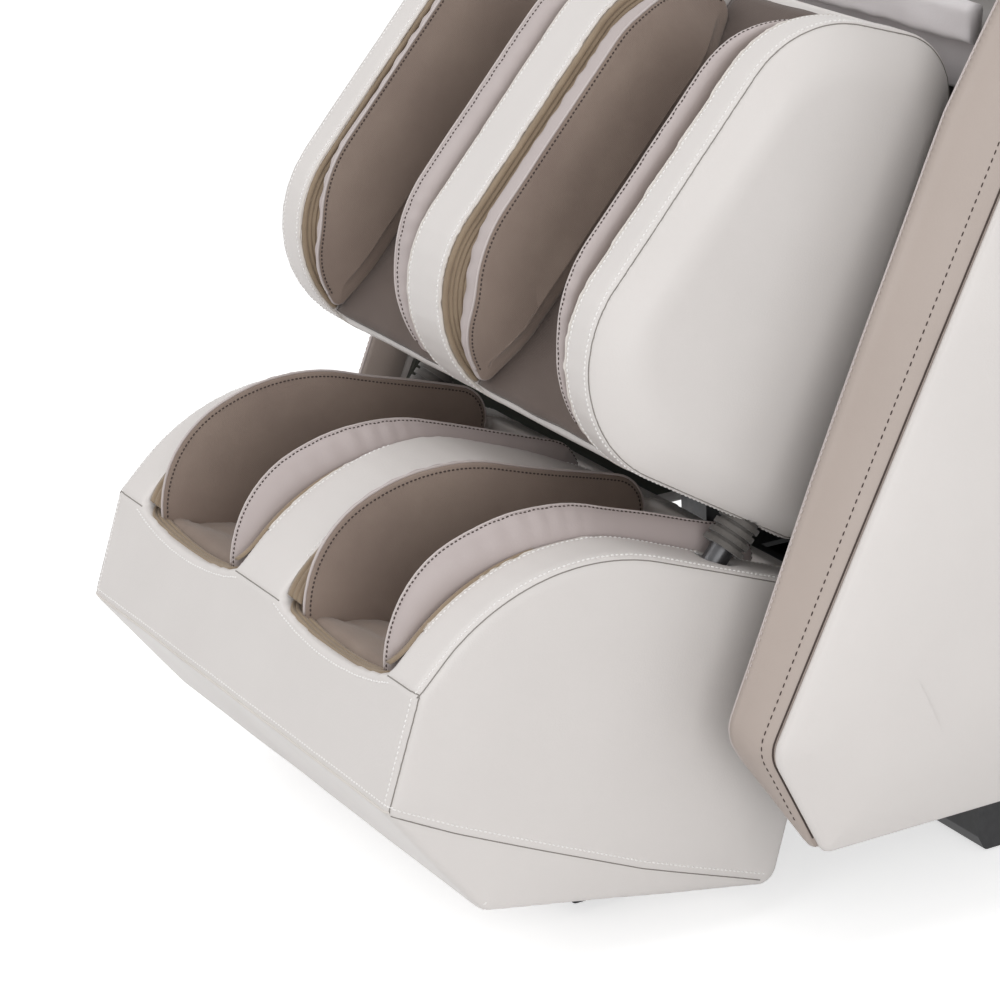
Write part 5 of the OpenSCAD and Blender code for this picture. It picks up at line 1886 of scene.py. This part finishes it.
@dataclass
class Back:
    """Back pad, head pillow and shoulder wings."""

    half: float = 240.0
    length: float = 780.0

    def pad_outline(self) -> list[Corner]:
        """Outline of the back pad in x and height along the back.

        Returns:
            The outline's corners.
        """
        half, top = self.half, self.length
        return [(2 - half, 70, 30), (half - 2, 70, 30), (half + 2, top - 200, 110), (half - 64, top - 6, 80),
                (64 - half, top - 6, 80), (-half - 2, top - 200, 110)]

    def build(self, wardrobe: Wardrobe) -> None:
        """Builds and dresses the soft parts of the back.

        Args:
            wardrobe: Gives the finishes and hangs the pieces on the body.
        """
        profile = [(6.0, 40.0), (4.0, -60.0), (8.0, -84.0), (22.0, -100.0), (44.0, -106.0)]
        pad = self.stepped("back_cushion", self.pad_outline(), profile, 14)
        hollow = np.array([[-150, 40], [150, 40], [150, 740], [-150, 740]], float)
        carve(pad, [loft("hollow", [back_plate(hollow, 90.0), back_plate(hollow, -60.0)])])
        Cushion("backrest", "back_pad", "brown_fabric", fill=0.7, voxel=6.0, cap=6.0,
                pressure=3.0).swell(wardrobe, pad)
        profile = [(6.0, -114.5), (3.0, -122.0), (3.0, -142.0), (14.0, -156.0)]
        corners: list[Corner] = [(-140, 570, 20), (140, 570, 20), (130, 715, 20), (-130, 715, 20)]
        pillow = self.stepped("head_cushion", corners, profile, 10)
        Cushion("backrest", "head_pillow", "taupe_leather", fill=0.8, voxel=5.0, cap=7.0,
                pressure=4.0).swell(wardrobe, pillow)
        wing: list[Corner] = [(-162, 470, 70), (78, 470, 50), (78, 650, 60), (-60, 722, 70), (-178, 640, 60)]
        for side, name in SIDES:
            rings = crowned_rings(inset(wing, 5), 249.0, 287.0, edge=14, crown=2, reach=40, step=10)
            piece = loft(f"{name}_wing_pad", [on_back(r * [side, 1, 1]) for r in rings])
            Cushion("backrest", f"{name}_shoulder_wing", "white_leather", fill=0.7, voxel=5.0, cap=4.0,
                    pressure=3.0).swell(wardrobe, piece)

    @staticmethod
    def stepped(name: str, corners: list[Corner], profile: list[tuple[float, float]], step: float) -> Piece:
        """A cushion's form from outlines at several depths.

        Args:
            name: The piece's name.
            corners: Its outline in x and height along the back.
            profile: How far the outline moves inward, and its distance behind the hinge line.
            step: Longest step along the outline.

        Returns:
            The new object.
        """
        flat = refined([rounded(inset(corners, d)) for d, _ in profile], step)
        return loft(name, [back_plate(p, t) for p, (_, t) in zip(flat, profile)])


@dataclass
class Armrests:
    """Padding of the arm channels."""

    def build(self, wardrobe: Wardrobe) -> None:
        """Builds and dresses both linings.

        Args:
            wardrobe: Gives the finish and hangs the linings on the body.
        """
        for name in ("left", "right"):
            low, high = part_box(f"{name}_arm_pad")
            lo, hi = np.array(low) / MM, np.array(high) / MM
            section = np.array([(lo[0] + 1, hi[2] - 1), (lo[0] + 1, lo[2] + 1), (hi[0] - 1, lo[2] + 1),
                                (hi[0] - 1, hi[2] - 1), (hi[0] - 7, hi[2] - 1), (hi[0] - 8, lo[2] + 16),
                                (hi[0] - 16, lo[2] + 8), (lo[0] + 16, lo[2] + 8), (lo[0] + 8, lo[2] + 16),
                                (lo[0] + 7, hi[2] - 1)])
            ring = walked(section, 4, True)
            rings = [np.column_stack([ring[:, 0], np.full(len(ring), y), ring[:, 1]])
                     for y in np.linspace(lo[1] + 1, hi[1] - 1, 40)]
            piece = loft(f"{name}_arm_lining", rings)
            Cushion("chair", f"{name}_arm_pad", "brown_fabric", fill=0.5, voxel=4.0, cap=0.8,
                    pressure=1.0).swell(wardrobe, piece)


# ---------------------------------------------------------------- studio
@dataclass
class Studio:
    """Floor, backdrop light, lamps and the camera."""

    azimuth: float = math.radians(61.84)
    elevation: float = math.radians(19.91)
    roll: float = math.radians(-2.80)
    distance: float = 2587.81
    aim_pixel: tuple[float, float] = (255.55, 584.23)
    focal_pixels: float = 3604.24
    picture: float = 1000.0
    sensor: float = 36.0
    floor_half: float = 9000.0
    floor_glow: float = 0.62

    def build(self) -> None:
        """Builds floor, world, lamps and camera."""
        self.build_floor()
        self.build_world()
        self.build_lamps()
        self.build_camera()

    def build_camera(self) -> None:
        """The camera that sees the leg rest from its front right."""
        az, el = self.azimuth, self.elevation
        back = np.array([math.sin(az) * math.cos(el), -math.cos(az) * math.cos(el), math.sin(el)])
        right = np.array([math.cos(az), math.sin(az), 0.0])
        up = np.cross(back, right)
        c, s = math.cos(self.roll), math.sin(self.roll)
        right, up = c * right + s * up, -s * right + c * up
        shift = self.distance / self.focal_pixels
        t = ((self.aim_pixel[0] - self.picture / 2) * shift, -(self.aim_pixel[1] - self.picture / 2) * shift)
        place = CREASE - (right * t[0] + up * t[1] - back * self.distance)
        data = bpy.data.cameras.new("camera")
        data.sensor_width = self.sensor
        data.lens = self.focal_pixels / self.picture * self.sensor
        data.clip_start, data.clip_end = 0.05, 60
        camera = bpy.data.objects.new("camera", data)
        bpy.context.scene.collection.objects.link(camera)
        turn = Matrix((right, up, back)).transposed().to_4x4()
        camera.matrix_world = Matrix.Translation(Vector(place * MM)) @ turn
        bpy.context.scene.camera = camera

    @staticmethod
    def seen_mask(tree: Tree) -> Socket:
        """Tells what is seen from what lights the object.

        Args:
            tree: The node tree that asks.

        Returns:
            A socket with 1 for what the camera, a reflection or glass sees, and 0 for light.
        """
        path = tree.nodes.new("ShaderNodeLightPath")
        seen = Effects.math(tree, "MAXIMUM", path.outputs["Is Camera Ray"], path.outputs["Is Glossy Ray"])
        return Effects.math(tree, "MAXIMUM", seen, path.outputs["Is Transmission Ray"])

    def build_floor(self) -> None:
        """A plain pale floor that keeps the object's shadow."""
        corners = np.array([[-1, -1], [1, -1], [1, 1], [-1, 1]]) * self.floor_half
        floor = make_object("floor", np.column_stack([corners, np.full(4, -0.4)]), [(0, 1, 2, 3)], False)
        made = bpy.data.materials.new("floor")
        made.use_nodes = True
        tree = made.node_tree
        tree.nodes.clear()
        out = tree.nodes.new("ShaderNodeOutputMaterial")
        matt = tree.nodes.new("ShaderNodeBsdfDiffuse")
        matt.inputs["Color"].default_value = (0.8, 0.8, 0.8, 1)
        glow = tree.nodes.new("ShaderNodeEmission")
        glow.inputs["Color"].default_value = (1, 1, 1, 1)
        lit = Effects.math(tree, "MULTIPLY", self.seen_mask(tree), self.floor_glow)
        tree.links.new(lit, glow.inputs["Strength"])
        both = tree.nodes.new("ShaderNodeAddShader")
        tree.links.new(matt.outputs[0], both.inputs[0])
        tree.links.new(glow.outputs[0], both.inputs[1])
        tree.links.new(both.outputs[0], out.inputs["Surface"])
        floor.data.materials.append(made)

    def build_world(self) -> None:
        """White all round where it is seen, and plain soft light on the object."""
        world = bpy.data.worlds.new("studio")
        bpy.context.scene.world = world
        world.use_nodes = True
        tree = world.node_tree
        shade = tree.nodes["Background"]
        shade.inputs["Color"].default_value = (1, 1, 1, 1)
        lit = Effects.math(tree, "MULTIPLY_ADD", self.seen_mask(tree), 0.5)
        lit.node.inputs[2].default_value = 0.5
        tree.links.new(lit, shade.inputs["Strength"])

    @staticmethod
    def build_lamps() -> None:
        """Three soft lamps: a large key from the left front, a fill from the right, and a top light."""
        for name, place, aim, size, power in (
            ("key", (-1.6, -3.2, 3.0), (0.0, -0.4, 0.4), 2.4, 40.0),
            ("fill", (3.4, -1.6, 1.2), (0.2, -0.3, 0.4), 2.4, 46.0),
            ("top", (0.4, -0.4, 3.8), (0.0, -0.3, 0.4), 2.6, 25.0),
        ):
            data = bpy.data.lights.new(name, "AREA")
            data.shape, data.size, data.energy = "SQUARE", size, power
            lamp = bpy.data.objects.new(name, data)
            bpy.context.scene.collection.objects.link(lamp)
            lamp.location = place
            lamp.rotation_mode = "QUATERNION"
            lamp.rotation_quaternion = (Vector(aim) - Vector(place)).to_track_quat("-Z", "Y")


def main() -> None:
    """Builds every part of the scene in order."""
    logging.basicConfig(level=logging.INFO, format="%(message)s")
    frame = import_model()
    bpy.context.scene.view_settings.view_transform = "Standard"
    Studio().build()
    wardrobe = Wardrobe(Effects())
    wardrobe.dress_frame(frame["nodes"])
    FootUnit().build(wardrobe)
    CalfUnit().build(wardrobe)
    for side, name in SIDES:
        SidePanel(name, side).build(wardrobe)
    Seat().build(wardrobe)
    Back().build(wardrobe)
    Armrests().build(wardrobe)


if __name__ == "__main__":
    main()
